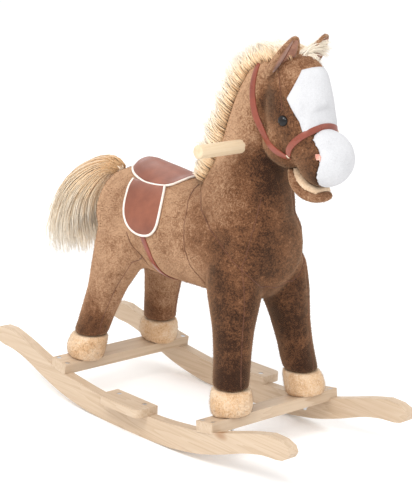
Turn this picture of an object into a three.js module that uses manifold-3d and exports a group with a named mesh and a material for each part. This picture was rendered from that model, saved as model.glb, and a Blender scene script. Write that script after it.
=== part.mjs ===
// A plush rocking horse on a wooden base. Millimetres, +Z up. The horse faces -Y and its left side
// is +X. The origin is on the floor, under the middle of the two rockers.
import * as THREE from 'three';
import { mergeVertices } from 'three/addons/utils/BufferGeometryUtils.js';
import Module from 'manifold-3d';

const wasm = await Module();
wasm.setup();

// ---- driving dimensions -------------------------------------------------------------------------
const GAP = 0.3;                   // air left between pieces that touch
const BEYOND = 400;                // further than any piece reaches, for cutting bodies
const RIGHT = -1;                  // sign of X on the horse's right side
const LEFT = 1;
const FRONT = -1;                  // sign of Y towards the nose
const REAR = 1;

const BASE_WIDTH = 280;            // over the outer faces of the rockers
const BOARD = 18;                  // thickness of the rocker boards and crossbars
const ROCKER_HALF = 366;           // half the length of a rocker
const ROCKER_WAIST = 38.7;         // height of a rocker at its middle
const ROCKER_FLAT = 40;            // half the flat stretch under a rocker's middle
const ROCKER_STEPS = 24;           // facets along half of a rocker's upper or lower edge

const BAR_Y = 181;                 // distance of each crossbar from the middle
const BAR_WIDTH = 36.4;
const BAR_TOP = 69.1;              // height of a crossbar's upper face at its middle
const BAR_TILT = THREE.MathUtils.degToRad(8.7);

const FOOTREST_LENGTH = 100;
const FOOTREST_INNER = 119;        // distance of the inner edge from the middle plane
const FOOTREST_OUTER = 163;
const FOOTREST_THICKNESS = 14;
const FOOTREST_CORNER = 14;
const FOOTREST_TOP = ROCKER_WAIST + FOOTREST_THICKNESS - 0.1;

const SCREW_HEAD = 4.2;            // radii of the countersunk wood screws
const SCREW_SHANK = 2;
const SCREW_LENGTH = 34;
const SCREW_RECESS = 0.5;          // depth of the heads below the wood
const SCREW_X = BASE_WIDTH / 2 - BOARD / 2;
const SCREW_PITCH_BAR = 24;
const SCREW_PITCH_FOOTREST = 63;

const BOLT_RADIUS = 3;             // M6 bolts that hold the legs
const BOLT_UP = 38;                // reach above the crossbar
const BOLT_DOWN = 9;               // reach below the crossbar
const NUT_RADIUS = 5.8;            // over the corners
const NUT_HEIGHT = 5;

const FOOT_X = 82;                 // where each leg stands on its crossbar
const FOOT_Y = 180;
const POST = 22;                   // square section of the wooden leg posts
const POST_TOP_X = 50;
const POST_TOP_Y = 146;

const SPINE_UNDERSIDE = 290;       // the wooden board inside the body
const SPINE_WIDTH = 124;
const SPINE_LENGTH = 326;

const HANDLE_Y = -152;
const HANDLE_Z = 487;
const HANDLE_RADIUS = 10.5;
const HANDLE_LENGTH = 300;
const NECK_POST_TOP = 556;

const HOOF_TOP = 110;
const SKIN_SIDES = 16;             // facets around the body, neck and head

const SNOUT = [0, -272, 483];      // middles and radii of the two rounded ends of the head
const SNOUT_RADII = [43, 46, 44];
const JOWL = [0, -204, 498];
const JOWL_RADII = [48, 42, 43];

const STRAP = 10;                  // width of the bridle straps
const STRAP_THICKNESS = 2.4;
const EYE_RADIUS = 8.5;
const EYE_X = 47;                  // middle of the left eye
const EYE_Y = -227;
const EYE_Z = 537;
const RIVET_RADIUS = 3.6;
const RIVET_X = 46;                // middle of the left strap rivet
const RIVET_Y = -217;
const RIVET_Z = 482;

const SEAT_MIDDLE = 84;            // Y of the saddle's middle
const SEAT_LENGTH = 134;
const SEAT_HALF_WIDTH = 46;
const SEAT_FACETS = 36;            // facets round the saddle
const SEAT_EDGE = 4.5;             // thickness of the saddle at its rim
const SEAT_CROWN = [0, 98, 330];   // middle and radii of the ball that raises the saddle's middle
const SEAT_CROWN_RADII = [72, 118, 86];
const GIRTH_THICKNESS = 2.2;
const FLAP_HINGE_X = 43.5;         // where the flaps are sewn on, under the saddle's rim
const FLAP_LIFT = 3.6;             // space under a flap, for the girth strap
const FLAP_THICKNESS = 3;

// ---- materials ----------------------------------------------------------------------------------
const finish = (color, roughness, metalness = 0) => () =>
  new THREE.MeshStandardMaterial({ color, roughness, metalness });
const PINE = finish(0xe0cbae, 0.6);
const INNER_WOOD = finish(0xc9a878, 0.8);
const DOWEL = finish(0xe8cfa0, 0.55);
const STEEL = finish(0xb8b8b8, 0.35, 0.9);
const BROWN_PLUSH = finish(0x7a5638, 0.95);
const TAN_PLUSH = finish(0xd8ad80, 0.95);
const WHITE_PLUSH = finish(0xeeeeee, 0.95);
const BEIGE_LINING = finish(0xcdb79a, 0.95);
const LONG_HAIR = finish(0xe3cda8, 0.9);
const LEATHER = finish(0xa5624e, 0.45);
const EYE_BLACK = finish(0x101010, 0.08);
const RIVET_BRASS = finish(0xd9c9a5, 0.3, 0.8);

// ---- solids -------------------------------------------------------------------------------------
function solid(geometry, matrix = new THREE.Matrix4()) {
  const bare = geometry.clone().applyMatrix4(matrix);
  bare.deleteAttribute('normal');
  bare.deleteAttribute('uv');
  const merged = mergeVertices(bare, 1e-4);
  return new wasm.Manifold(new wasm.Mesh({
    numProp: 3,
    vertProperties: new Float32Array(merged.attributes.position.array),
    triVerts: new Uint32Array(merged.index.array),
  }));
}

function geometryOf(shape) {
  const mesh = shape.getMesh();
  const geometry = new THREE.BufferGeometry();
  geometry.setAttribute('position', new THREE.BufferAttribute(mesh.vertProperties, 3));
  geometry.setIndex(new THREE.BufferAttribute(mesh.triVerts, 1));
  geometry.computeVertexNormals();
  return geometry;
}

const moved = (x, y, z) => new THREE.Matrix4().makeTranslation(x, y, z);
const cut = (shape, ...tools) => tools.reduce((left, tool) => left.subtract(tool), shape);

function box(low, high) {
  const size = high.map((value, i) => value - low[i]);
  const middle = high.map((value, i) => (value + low[i]) / 2);
  return solid(new THREE.BoxGeometry(...size), moved(...middle));
}

// A slab with an outline drawn in the side view (Y to the right, Z up), extruded across X.
function sideSlab(shape, lowX, highX) {
  const geometry = new THREE.ExtrudeGeometry(shape, { depth: highX - lowX, bevelEnabled: false });
  const sideView = new THREE.Matrix4().set(0, 0, 1, lowX, 1, 0, 0, 0, 0, 1, 0, 0, 0, 0, 0, 1);
  return solid(geometry, sideView);
}

// A closed skin over elliptical rings. Each station is [x, y, z, half width, half depth, lean]; a
// lean of 0 is a level ring and 90 is an upright ring that faces along Y.
function skin(stations, { grow = 0, steps = 2, sides = SKIN_SIDES } = {}) {
  const middles = stations.map(([x, y, z]) => new THREE.Vector3(x, y, z));
  const shapes = stations.map(([, , , w, h, lean = 0]) => new THREE.Vector3(w, h, lean));
  const path = new THREE.CatmullRomCurve3(middles, false, 'centripetal');
  const form = new THREE.CatmullRomCurve3(shapes, false, 'centripetal');
  const rings = (stations.length - 1) * steps;
  const points = [];
  for (let ring = 0; ring <= rings; ring += 1) {
    const middle = path.getPoint(ring / rings);
    const { x: width, y: depth, z: lean } = form.getPoint(ring / rings);
    const tip = ring === 0 || ring === rings ? grow : 0;
    const tangent = path.getTangent(ring / rings).multiplyScalar(ring === 0 ? -tip : tip);
    middle.add(tangent);
    const angle = THREE.MathUtils.degToRad(lean);
    for (let side = 0; side < sides; side += 1) {
      const turn = (side / sides) * Math.PI * 2;
      const across = Math.cos(turn) * (width + grow);
      const deep = Math.sin(turn) * (depth + grow);
      points.push(middle.x + across, middle.y + deep * Math.cos(angle), middle.z + deep * Math.sin(angle));
    }
  }
  return solid(closeRings(points, sides));
}

// Joins equal rings of points, and closes both ends with a fan around the end ring's middle.
function closeRings(points, sides) {
  const rings = points.length / 3 / sides;
  const index = [];
  for (let ring = 0; ring < rings - 1; ring += 1) {
    for (let side = 0; side < sides; side += 1) {
      const a = ring * sides + side;
      const b = ring * sides + (side + 1) % sides;
      index.push(a, b, b + sides, a, b + sides, a + sides);
    }
  }
  for (const [first, flip] of [[0, true], [(rings - 1) * sides, false]]) {
    const middle = [0, 1, 2].map((axis) => {
      let sum = 0;
      for (let side = 0; side < sides; side += 1) sum += points[(first + side) * 3 + axis];
      return sum / sides;
    });
    const hub = points.length / 3;
    points.push(...middle);
    for (let side = 0; side < sides; side += 1) {
      const a = first + side;
      const b = first + (side + 1) % sides;
      index.push(...(flip ? [hub, b, a] : [hub, a, b]));
    }
  }
  return facingOut(points, index);
}

function facingOut(points, index) {
  const at = (i) => new THREE.Vector3().fromArray(points, i * 3);
  let volume = 0;
  for (let i = 0; i < index.length; i += 3) {
    volume += at(index[i]).dot(at(index[i + 1]).cross(at(index[i + 2])));
  }
  if (volume < 0) index.reverse();
  const geometry = new THREE.BufferGeometry();
  geometry.setAttribute('position', new THREE.Float32BufferAttribute(points, 3));
  geometry.setIndex(index);
  return geometry;
}

// A band of even width along a line of points in the side view.
function bandOutline(line, width, steps = 9) {
  const path = new THREE.CatmullRomCurve3(line.map(([y, z]) => new THREE.Vector3(y, z, 0)));
  const edge = (side) => Array.from({ length: steps + 1 }, (_, i) => {
    const here = path.getPoint(i / steps);
    const along = path.getTangent(i / steps);
    return new THREE.Vector2(here.x - along.y * side * width / 2, here.y + along.x * side * width / 2);
  });
  return new THREE.Shape([...edge(1), ...edge(-1).reverse()]);
}

// ---- the horse's soft forms, before they are cut to meet each other ---------------------------------
const mirrored = (side, stations) => stations.map(([x, ...rest]) => [side * x, ...rest]);

const torso = (grow = 0) => skin([
  [0, -200, 322, 10, 12, 90],
  [0, -192, 321, 46, 50, 90],
  [0, -165, 320, 76, 80, 90],
  [0, -110, 318, 86, 88, 90],
  [0, 0, 315, 86, 87, 90],
  [0, 100, 315, 85, 86, 90],
  [0, 160, 317, 80, 80, 90],
  [0, 195, 322, 54, 58, 90],
  [0, 206, 326, 14, 16, 90],
], { grow });

const neck = (grow = 0) => skin([
  [0, -104, 330, 76, 84, 10],
  [0, -113, 395, 72, 80, 10],
  [0, -121, 440, 61, 65, 12],
  [0, -128, 487, 53, 53, 16],
  [0, -141, 535, 50, 51, 24],
  [0, -160, 580, 44, 47, 34],
  [0, -176, 606, 32, 34, 42],
  [0, -184, 618, 10, 12, 44],
], { grow });

const head = (grow = 0) => skin([
  [0, -184, 625, 12, 14, 152],
  [0, -192, 613, 34, 38, 152],
  [0, -203, 585, 46, 53, 152],
  [0, -215, 545, 50, 55, 154],
  [0, -236, 506, 46, 46, 150],
  [0, -258, 484, 38, 34, 140],
  [0, -274, 474, 12, 12, 136],
], { grow });

function ball(middle, radii, grow) {
  const size = new THREE.Matrix4().makeScale(...radii.map((radius) => radius + grow));
  return solid(new THREE.SphereGeometry(1, 18, 10), moved(...middle).multiply(size));
}

const snout = (grow = 0) => ball(SNOUT, SNOUT_RADII, grow);

const jowl = (grow = 0) => ball(JOWL, JOWL_RADII, grow);

const headAndNeck = (grow = 0) => neck(grow).add(head(grow)).add(jowl(grow)).add(snout(grow));

const frontLeg = (side) => skin(mirrored(side, [
  [44, -134, 318, 36, 40],
  [47, -138, 292, 44, 50],
  [54, -147, 250, 41, 46],
  [63, -157, 198, 32, 35],
  [71, -166, 150, 29, 31],
  [78, -173, 112, 28.5, 30],
  [82, -180, 96, 28, 29],
]), { sides: 16 });

const rearLeg = (side) => skin(mirrored(side, [
  [44, 122, 318, 34, 44],
  [47, 127, 292, 42, 56],
  [54, 134, 246, 41, 50],
  [63, 150, 196, 33, 36],
  [71, 164, 150, 29, 32],
  [78, 174, 112, 28.5, 30],
  [82, 180, 96, 28, 29],
]), { sides: 16 });

const hoofForm = (side, end) => skin([
  [side * (FOOT_X - 4), end * (FOOT_Y - 5), HOOF_TOP, 30, 31],
  [side * (FOOT_X - 2), end * (FOOT_Y - 3), 101, 33, 34],
  [side * FOOT_X, end * FOOT_Y, 86, 34, 35],
  [side * (FOOT_X + 1), end * FOOT_Y, 70, 30, 31],
  [side * (FOOT_X + 1), end * FOOT_Y, 60, 23, 24],
], { sides: 14 });

// ---- wooden base --------------------------------------------------------------------------------
const parts = new THREE.Group();

function place(name, geometry, material, parent = parts) {
  const mesh = new THREE.Mesh(geometry, material());
  mesh.name = name;
  parent.add(mesh);
  return mesh;
}

const SIDES = [['right', RIGHT], ['left', LEFT]];
const ENDS = [['front', FRONT], ['rear', REAR]];

function rockerOutline() {
  const lower = [
    [ROCKER_FLAT, 0], [80, 1.4], [118, 4.6], [172, 14], [221, 28.4], [269, 45.6], [307, 55], [338, 57.4],
  ];
  const toe = [[351, 60], [361, 66], [ROCKER_HALF, 75], [361, 84], [345, 89.6], [320, 90.4]];
  const upper = [
    [320, 90.4], [280, 81], [231, 66.1], [183, 53.2], [129, 45.6], [70, 40], [0, ROCKER_WAIST],
  ];
  const smooth = (line, steps) => {
    const knots = line.map(([y, z]) => new THREE.Vector2(y, z));
    return new THREE.SplineCurve(knots).getPoints(steps);
  };
  const half = [
    ...smooth(lower, ROCKER_STEPS),
    ...toe.map(([y, z]) => new THREE.Vector2(y, z)),
    ...smooth(upper, ROCKER_STEPS).slice(1),
  ];
  const other = half.slice(0, -1).reverse().map((point) => new THREE.Vector2(-point.x, point.y));
  return new THREE.Shape([...half, ...other]);
}

function screwProfile(grow) {
  const top = grow > 0 ? 1 : -SCREW_RECESS;
  return new THREE.LatheGeometry([
    [0, -SCREW_LENGTH - grow],
    [SCREW_SHANK + grow, -SCREW_LENGTH + 3],
    [SCREW_SHANK + grow, -SCREW_HEAD + SCREW_SHANK - SCREW_RECESS],
    [SCREW_HEAD + grow, -SCREW_RECESS * 2],
    [SCREW_HEAD + grow, top],
    [0, top],
  ].map(([r, y]) => new THREE.Vector2(r, y)), 8).rotateX(Math.PI / 2);
}

// A crossbar's own frame: the origin is on its upper face, in the middle.
function barFrame(end) {
  return new THREE.Matrix4().makeTranslation(0, end * BAR_Y, BAR_TOP)
    .multiply(new THREE.Matrix4().makeRotationX(end * BAR_TILT));
}

const barScrews = SIDES.flatMap(([sideName, side]) => [-1, 1].map((row) => ({
  name: `${sideName}_${row < 0 ? 'inner' : 'outer'}`,
  x: side * SCREW_X,
  row,
})));
const screwY = (end, row) => end * row * SCREW_PITCH_BAR / 2;

function boltForm(grow) {
  const low = -BOARD - BOLT_DOWN;
  const radius = BOLT_RADIUS + grow;
  const rod = new THREE.CylinderGeometry(radius, radius, BOLT_UP - low + grow * 2, 10);
  return rod.rotateX(Math.PI / 2).translate(0, 0, (BOLT_UP + low) / 2);
}

function barTools(end) {
  const frame = barFrame(end);
  const local = (geometry, x, y) => solid(geometry, frame.clone().multiply(moved(x, y, 0)));
  return {
    bar: solid(new THREE.BoxGeometry(BASE_WIDTH + GAP * 2, BAR_WIDTH + GAP * 2, BOARD + GAP * 2),
      frame.clone().multiply(moved(0, 0, -BOARD / 2))),
    above: solid(new THREE.BoxGeometry(BASE_WIDTH, BAR_WIDTH * 4, BOARD * 3),
      frame.clone().multiply(moved(0, 0, GAP - BOARD * 1.5))),
    screws: barScrews.map(({ x, row }) => local(screwProfile(GAP), x, screwY(end, row))),
    bolts: SIDES.map(([, side]) => local(boltForm(GAP), side * FOOT_X, 0)),
  };
}

const tools = { front: barTools(FRONT), rear: barTools(REAR) };

function makeCrossbars() {
  for (const [endName, end] of ENDS) {
    const group = new THREE.Group();
    group.applyMatrix4(barFrame(end));
    parts.add(group);
    const blank = box([-BASE_WIDTH / 2, -BAR_WIDTH / 2, -BOARD], [BASE_WIDTH / 2, BAR_WIDTH / 2, 0]);
    const holes = [
      ...barScrews.map(({ x, row }) => solid(screwProfile(GAP), moved(x, screwY(end, row), 0))),
      ...SIDES.map(([, side]) => solid(boltForm(GAP), moved(side * FOOT_X, 0, 0))),
    ];
    place(`${endName}_crossbar`, geometryOf(cut(blank, ...holes)), PINE, group);
    for (const { name, x, row } of barScrews) {
      place(`${endName}_crossbar_screw_${name}`, screwProfile(0), STEEL, group)
        .position.set(x, screwY(end, row), 0);
    }
    for (const [sideName, side] of SIDES) {
      place(`${endName}_${sideName}_leg_bolt`, boltForm(0), STEEL, group).position.x = side * FOOT_X;
      const hexagon = new THREE.CylinderGeometry(NUT_RADIUS, NUT_RADIUS, NUT_HEIGHT, 6);
      hexagon.rotateX(Math.PI / 2);
      const nut = solid(hexagon).subtract(solid(boltForm(GAP)));
      place(`${endName}_${sideName}_leg_nut`, geometryOf(nut), STEEL, group)
        .position.set(side * FOOT_X, 0, -BOARD - GAP - NUT_HEIGHT / 2);
    }
  }
}

const footrestScrews = [-1, 1].map((row) => row * SCREW_PITCH_FOOTREST / 2);

function footrestForm(side, grow = 0) {
  const inner = FOOTREST_INNER - grow;
  const outer = FOOTREST_OUTER + grow;
  const end = FOOTREST_LENGTH / 2 + grow;
  const corner = FOOTREST_CORNER;
  const outline = new THREE.Shape();
  outline.moveTo(inner, -end);
  outline.lineTo(outer - corner, -end);
  outline.absarc(outer - corner, -end + corner, corner, -Math.PI / 2, 0);
  outline.absarc(outer - corner, end - corner, corner, 0, Math.PI / 2);
  outline.lineTo(inner, end);
  const depth = FOOTREST_THICKNESS + grow * 2;
  const plate = new THREE.ExtrudeGeometry(outline, { depth, bevelEnabled: false, curveSegments: 4 });
  const turn = side < 0 ? new THREE.Matrix4().makeRotationZ(Math.PI) : new THREE.Matrix4();
  return solid(plate, turn.premultiply(moved(0, 0, FOOTREST_TOP - FOOTREST_THICKNESS - grow)));
}

const footrestScrewTools = (side) => footrestScrews.map((y) =>
  solid(screwProfile(GAP), moved(side * SCREW_X, y, FOOTREST_TOP)));

function makeFootrests() {
  for (const [sideName, side] of SIDES) {
    const plate = cut(footrestForm(side), ...footrestScrewTools(side));
    place(`${sideName}_footrest`, geometryOf(plate), PINE);
    for (const y of footrestScrews) {
      place(`${sideName}_footrest_screw_${y < 0 ? 'front' : 'rear'}`, screwProfile(0), STEEL)
        .position.set(side * SCREW_X, y, FOOTREST_TOP);
    }
  }
}

function makeRockers() {
  for (const [sideName, side] of SIDES) {
    const faces = [side * BASE_WIDTH / 2, side * (BASE_WIDTH / 2 - BOARD)].sort((a, b) => a - b);
    const rocker = cut(
      sideSlab(rockerOutline(), ...faces),
      tools.front.bar, tools.rear.bar, ...tools.front.screws, ...tools.rear.screws,
      footrestForm(side, GAP), ...footrestScrewTools(side),
    );
    place(`${sideName}_rocker`, geometryOf(rocker), PINE);
  }
}

// ---- wooden frame inside the plush ----------------------------------------------------------------
function legPost(side, end, grow = 0) {
  const foot = new THREE.Vector3(side * FOOT_X, end * FOOT_Y, BAR_TOP - BOARD);
  const top = new THREE.Vector3(side * POST_TOP_X, end * POST_TOP_Y, SPINE_UNDERSIDE + BOARD);
  const axis = top.clone().sub(foot);
  const up = new THREE.Vector3(0, 0, 1);
  const turn = new THREE.Quaternion().setFromUnitVectors(up, axis.clone().normalize());
  const width = POST + grow * 2;
  const middle = foot.clone().add(top).multiplyScalar(0.5);
  const matrix = new THREE.Matrix4().compose(middle, turn, new THREE.Vector3(1, 1, 1));
  return solid(new THREE.BoxGeometry(width, width, axis.length()), matrix);
}

function spineBoard(grow = 0) {
  return box(
    [-SPINE_WIDTH / 2 - grow, -SPINE_LENGTH / 2 - grow, SPINE_UNDERSIDE - grow],
    [SPINE_WIDTH / 2 + grow, SPINE_LENGTH / 2 + grow, SPINE_UNDERSIDE + BOARD + grow],
  );
}

function neckPost(grow = 0) {
  return box(
    [-POST - grow, HANDLE_Y - BOARD * 0.75 - grow, SPINE_UNDERSIDE + BOARD + GAP - grow],
    [POST + grow, HANDLE_Y + BOARD * 0.75 + grow, NECK_POST_TOP + grow],
  );
}

function handleForm(grow = 0) {
  const half = HANDLE_LENGTH / 2 + grow;
  const r = HANDLE_RADIUS + grow;
  const profile = [[0, -half], [r - 3, -half], [r - 0.8, -half + 1], [r, -half + 3.5],
    [r, half - 3.5], [r - 0.8, half - 1], [r - 3, half], [0, half]];
  const dowel = new THREE.LatheGeometry(profile.map(([x, y]) => new THREE.Vector2(x, y)), 16);
  return dowel.rotateZ(Math.PI / 2);
}
const handleTool = solid(handleForm(GAP), moved(0, HANDLE_Y, HANDLE_Z));

function makeInnerFrame() {
  const ceiling = spineBoard(GAP);
  const aboveBoard = box([-BEYOND, -BEYOND, SPINE_UNDERSIDE], [BEYOND, BEYOND, BEYOND * 2]);
  for (const [endName, end] of ENDS) {
    for (const [sideName, side] of SIDES) {
      const { above, bolts } = tools[endName];
      const post = cut(legPost(side, end), above, ceiling, aboveBoard, ...bolts);
      place(`${endName}_${sideName}_leg_post`, geometryOf(post), INNER_WOOD);
    }
  }
  place('spine_board', geometryOf(spineBoard()), INNER_WOOD);
  place('neck_post', geometryOf(cut(neckPost(), handleTool)), INNER_WOOD);
  place('handle_dowel', handleForm(), DOWEL).position.set(0, HANDLE_Y, HANDLE_Z);
}

// ---- plush --------------------------------------------------------------------------------------
const legs = ENDS.flatMap(([endName, end]) => SIDES.map(([sideName, side]) => ({
  name: `${endName}_${sideName}`, endName, end, side,
})));

function makeBody() {
  const torsoTool = torso(GAP);
  const posts = legs.map(({ side, end }) => legPost(side, end, GAP));
  const stuffing = cut(torso(), spineBoard(GAP), neckPost(GAP), ...posts);
  place('torso', geometryOf(stuffing), BROWN_PLUSH);
  for (const { name, endName, end, side } of legs) {
    const form = end === FRONT ? frontLeg(side) : rearLeg(side);
    const post = legPost(side, end, GAP);
    const below = box([-BEYOND, -BEYOND, 0], [BEYOND, BEYOND, HOOF_TOP]);
    const reach = [side * GAP, side * (GAP - BEYOND)].sort((a, b) => a - b);
    const otherHalf = box([reach[0], -BEYOND, 0], [reach[1], BEYOND, BEYOND]);
    place(`${name}_leg`, geometryOf(cut(form, torsoTool, post, below, otherHalf)), BROWN_PLUSH);
    const over = box([-BEYOND, -BEYOND, HOOF_TOP - GAP], [BEYOND, BEYOND, BEYOND]);
    const hoof = cut(hoofForm(side, end), over, post, tools[endName].above, ...tools[endName].bolts);
    place(`${name}_hoof`, geometryOf(hoof), TAN_PLUSH);
  }
}

// Where the white end of the snout meets the brown: (Y, Z) from the nose's bridge down to the mouth.
const MUZZLE_EDGE = [[-258, 560], [-264, 517], [-288, 500], [-292, 481], [-278, 446], [-270, 420]];

const muzzleLimit = (gap) => {
  const edge = MUZZLE_EDGE.map(([y, z]) => [y + gap, z]);
  const outline = [...edge, [-BEYOND, edge.at(-1)[1]], [-BEYOND, edge[0][1]]];
  return sideSlab(new THREE.Shape(outline.map(([y, z]) => new THREE.Vector2(y, z))), -BEYOND, BEYOND);
};

const jawForm = (grow = 0) => skin([
  [0, -212, 460, 18, 8, 135],
  [0, -225, 442, 27, 10, 127],
  [0, -247, 429, 32, 11, 112],
  [0, -266, 423, 27, 9, 93],
  [0, -278, 425, 15, 6, 78],
], { grow, sides: 16 });

const mouthForm = skin([
  [0, -216, 462, 14, 9, 119],
  [0, -236, 445, 23, 12, 113],
  [0, -256, 436, 25, 11, 104],
  [0, -272, 431, 17, 7, 98],
], { sides: 16 });

const earForm = (side, grow = 0) => skin(mirrored(side, [
  [26, -190, 594, 16, 15, 10],
  [29, -200, 618, 18, 12, 24],
  [31, -213, 640, 14, 9, 30],
  [32, -227, 656, 6, 5, 34],
  [32, -230, 660, 2, 2, 34],
]), { grow, sides: 12 });

const strapLine = [
  [-150, 640], [-153, 606], [-156, 570], [-166, 530], [-188, 505], [-212, 486], [-226, 470],
];
const nosebandLine = [[-290, 552], [-276, 532], [-258, 515], [-244, 503], [-236, 492]];

function bands() {
  const shell = headAndNeck(GAP + STRAP_THICKNESS).subtract(headAndNeck(GAP));
  const slab = (line, extra) => sideSlab(bandOutline(line, STRAP + extra), -BEYOND, BEYOND);
  const crown = slab(strapLine, 0).intersect(shell);
  const nose = slab(nosebandLine, 0).intersect(shell).subtract(slab(strapLine, GAP * 2));
  const room = slab(strapLine, GAP * 2).intersect(headAndNeck(GAP * 2 + STRAP_THICKNESS));
  return { crown, nose, room };
}

const maneForm = skin([
  [0, -244, 616, 8, 7, 130],
  [0, -226, 630, 13, 11, 120],
  [0, -180, 634, 20, 16, 96],
  [0, -134, 612, 22, 21, 60],
  [0, -92, 572, 21, 23, 24],
  [0, -68, 526, 20, 25, 10],
  [0, -46, 480, 18, 24, 0],
  [0, -34, 440, 15, 20, -8],
  [0, -22, 414, 9, 10, -20],
], { sides: 14 });

const eyeFrame = (side) => moved(side * EYE_X, EYE_Y, EYE_Z);

function makeHead() {
  const ears = SIDES.map(([, side]) => earForm(side, GAP));
  const { crown, nose, room } = bands();
  const whole = headAndNeck();
  const skull = cut(whole, torso(GAP), muzzleLimit(0), neckPost(GAP), handleTool);
  place('head_and_neck', geometryOf(skull), BROWN_PLUSH);
  const front = snout().intersect(muzzleLimit(-GAP));
  place('muzzle', geometryOf(front), WHITE_PLUSH);
  const skullTool = headAndNeck(GAP);
  place('lower_jaw', geometryOf(cut(jawForm(), skullTool, torso(GAP))), BROWN_PLUSH);
  place('mouth_lining', geometryOf(cut(mouthForm, skullTool, jawForm(GAP))), BEIGE_LINING);
  for (const [sideName, side] of SIDES) {
    place(`${sideName}_ear`, geometryOf(cut(earForm(side), skullTool, room)), BROWN_PLUSH);
    const ball = new THREE.SphereGeometry(EYE_RADIUS, 14, 10).scale(0.7, 1, 1);
    place(`${sideName}_eye`, geometryOf(cut(solid(ball, eyeFrame(side)), skullTool)), EYE_BLACK);
    const rivet = new THREE.CylinderGeometry(RIVET_RADIUS, RIVET_RADIUS, 3, 12).rotateZ(Math.PI / 2);
    const strapSkin = headAndNeck(GAP * 2 + STRAP_THICKNESS);
    const stud = solid(rivet.scale(3, 1, 1), moved(side * RIVET_X, RIVET_Y, RIVET_Z)).subtract(strapSkin);
    place(`${sideName}_rivet`, geometryOf(stud), RIVET_BRASS);
  }
  place('crown_strap', geometryOf(crown), LEATHER);
  place('noseband', geometryOf(nose), LEATHER);
  place('mane', geometryOf(cut(maneForm, skullTool, room, torso(GAP), ...ears)), LONG_HAIR);
}

const tailForm = skin([
  [0, 203, 372, 10, 10, 90],
  [0, 232, 376, 22, 18, 96],
  [0, 272, 364, 36, 32, 76],
  [0, 311, 328, 44, 41, 36],
  [0, 323, 282, 46, 42, 8],
  [0, 316, 238, 38, 38, -4],
  [0, 308, 206, 12, 14, -8],
], { sides: 14 });

// ---- saddle -------------------------------------------------------------------------------------
function seatPrism(grow = 0) {
  const outline = Array.from({ length: SEAT_FACETS }, (_, i) => {
    const turn = (i / SEAT_FACETS) * Math.PI * 2;
    const round = (value) => Math.sign(value) * Math.abs(value) ** (2 / 3);
    return new THREE.Vector2(
      round(Math.cos(turn)) * (SEAT_HALF_WIDTH + grow),
      SEAT_MIDDLE + round(Math.sin(turn)) * (SEAT_LENGTH / 2 + grow),
    );
  });
  const prism = new THREE.ExtrudeGeometry(new THREE.Shape(outline), { depth: 120, bevelEnabled: false });
  return solid(prism, moved(0, 0, SPINE_UNDERSIDE + 40));
}

// The flap hangs from the saddle's rim, and is widest near its round lower end.
function flapOutline() {
  const outline = new THREE.Shape();
  outline.moveTo(32, 410);
  outline.bezierCurveTo(14, 380, 2, 350, 6, 332);
  outline.bezierCurveTo(14, 306, 50, 304, 78, 320);
  outline.bezierCurveTo(100, 334, 104, 356, 112, 410);
  outline.lineTo(32, 410);
  return outline;
}

function makeSaddle() {
  const cushion = torso(GAP + SEAT_EDGE).add(ball(SEAT_CROWN, SEAT_CROWN_RADII, 0));
  place('saddle_seat', geometryOf(cushion.intersect(seatPrism()).subtract(torso(GAP))), LEATHER);
  const flapSkin = torso(FLAP_LIFT + FLAP_THICKNESS).subtract(torso(FLAP_LIFT));
  for (const [sideName, side] of SIDES) {
    const reach = [side * FLAP_HINGE_X, side * BEYOND].sort((a, b) => a - b);
    const flap = flapSkin.intersect(sideSlab(flapOutline(), ...reach)).subtract(seatPrism(1.5));
    place(`${sideName}_saddle_flap`, geometryOf(flap), LEATHER);
  }
  const girthSkin = torso(GAP + GIRTH_THICKNESS).subtract(torso(GAP));
  const slant = new THREE.Shape([[36, 330], [47, 330], [32, 200], [21, 200]]
    .map(([y, z]) => new THREE.Vector2(y, z)));
  place('girth_strap', geometryOf(girthSkin.intersect(sideSlab(slant, -BEYOND, BEYOND))), LEATHER);
}

makeRockers();
makeCrossbars();
makeFootrests();
makeInnerFrame();
makeBody();
makeHead();
makeSaddle();
place('tail', geometryOf(cut(tailForm, torso(GAP))), LONG_HAIR);

export default parts;
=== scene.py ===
"""Looks of a plush rocking horse: stuffed body, long mane and tail, leatherette tack, wooden base.
Lengths in the tables are millimetres in the frame's axes: the horse faces -Y and its left is +X."""

import math

import bmesh
import bpy
import numpy as np
from mathutils import Matrix, Vector, noise
from mathutils.bvhtree import BVHTree


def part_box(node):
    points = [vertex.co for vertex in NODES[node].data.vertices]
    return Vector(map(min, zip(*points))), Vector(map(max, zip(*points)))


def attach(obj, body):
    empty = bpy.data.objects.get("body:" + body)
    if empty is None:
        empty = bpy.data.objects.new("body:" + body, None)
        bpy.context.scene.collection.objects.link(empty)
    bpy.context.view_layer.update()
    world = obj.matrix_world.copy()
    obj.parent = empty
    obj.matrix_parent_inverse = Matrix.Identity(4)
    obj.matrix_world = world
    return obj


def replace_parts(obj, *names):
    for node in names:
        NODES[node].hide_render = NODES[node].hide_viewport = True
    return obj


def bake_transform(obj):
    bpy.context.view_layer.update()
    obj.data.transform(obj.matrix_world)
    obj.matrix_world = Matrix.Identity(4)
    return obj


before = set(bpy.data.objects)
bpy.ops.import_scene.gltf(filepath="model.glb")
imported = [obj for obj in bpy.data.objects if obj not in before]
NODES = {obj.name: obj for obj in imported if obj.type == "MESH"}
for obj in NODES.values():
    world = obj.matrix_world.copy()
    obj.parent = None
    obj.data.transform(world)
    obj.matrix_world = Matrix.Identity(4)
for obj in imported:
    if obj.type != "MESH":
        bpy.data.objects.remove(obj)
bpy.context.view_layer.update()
MM = 0.001
SIDES = (("right", -1), ("left", 1))
ENDS = (("front", -1), ("rear", 1))
draw = np.random.default_rng(11)
scene = bpy.context.scene


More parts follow.
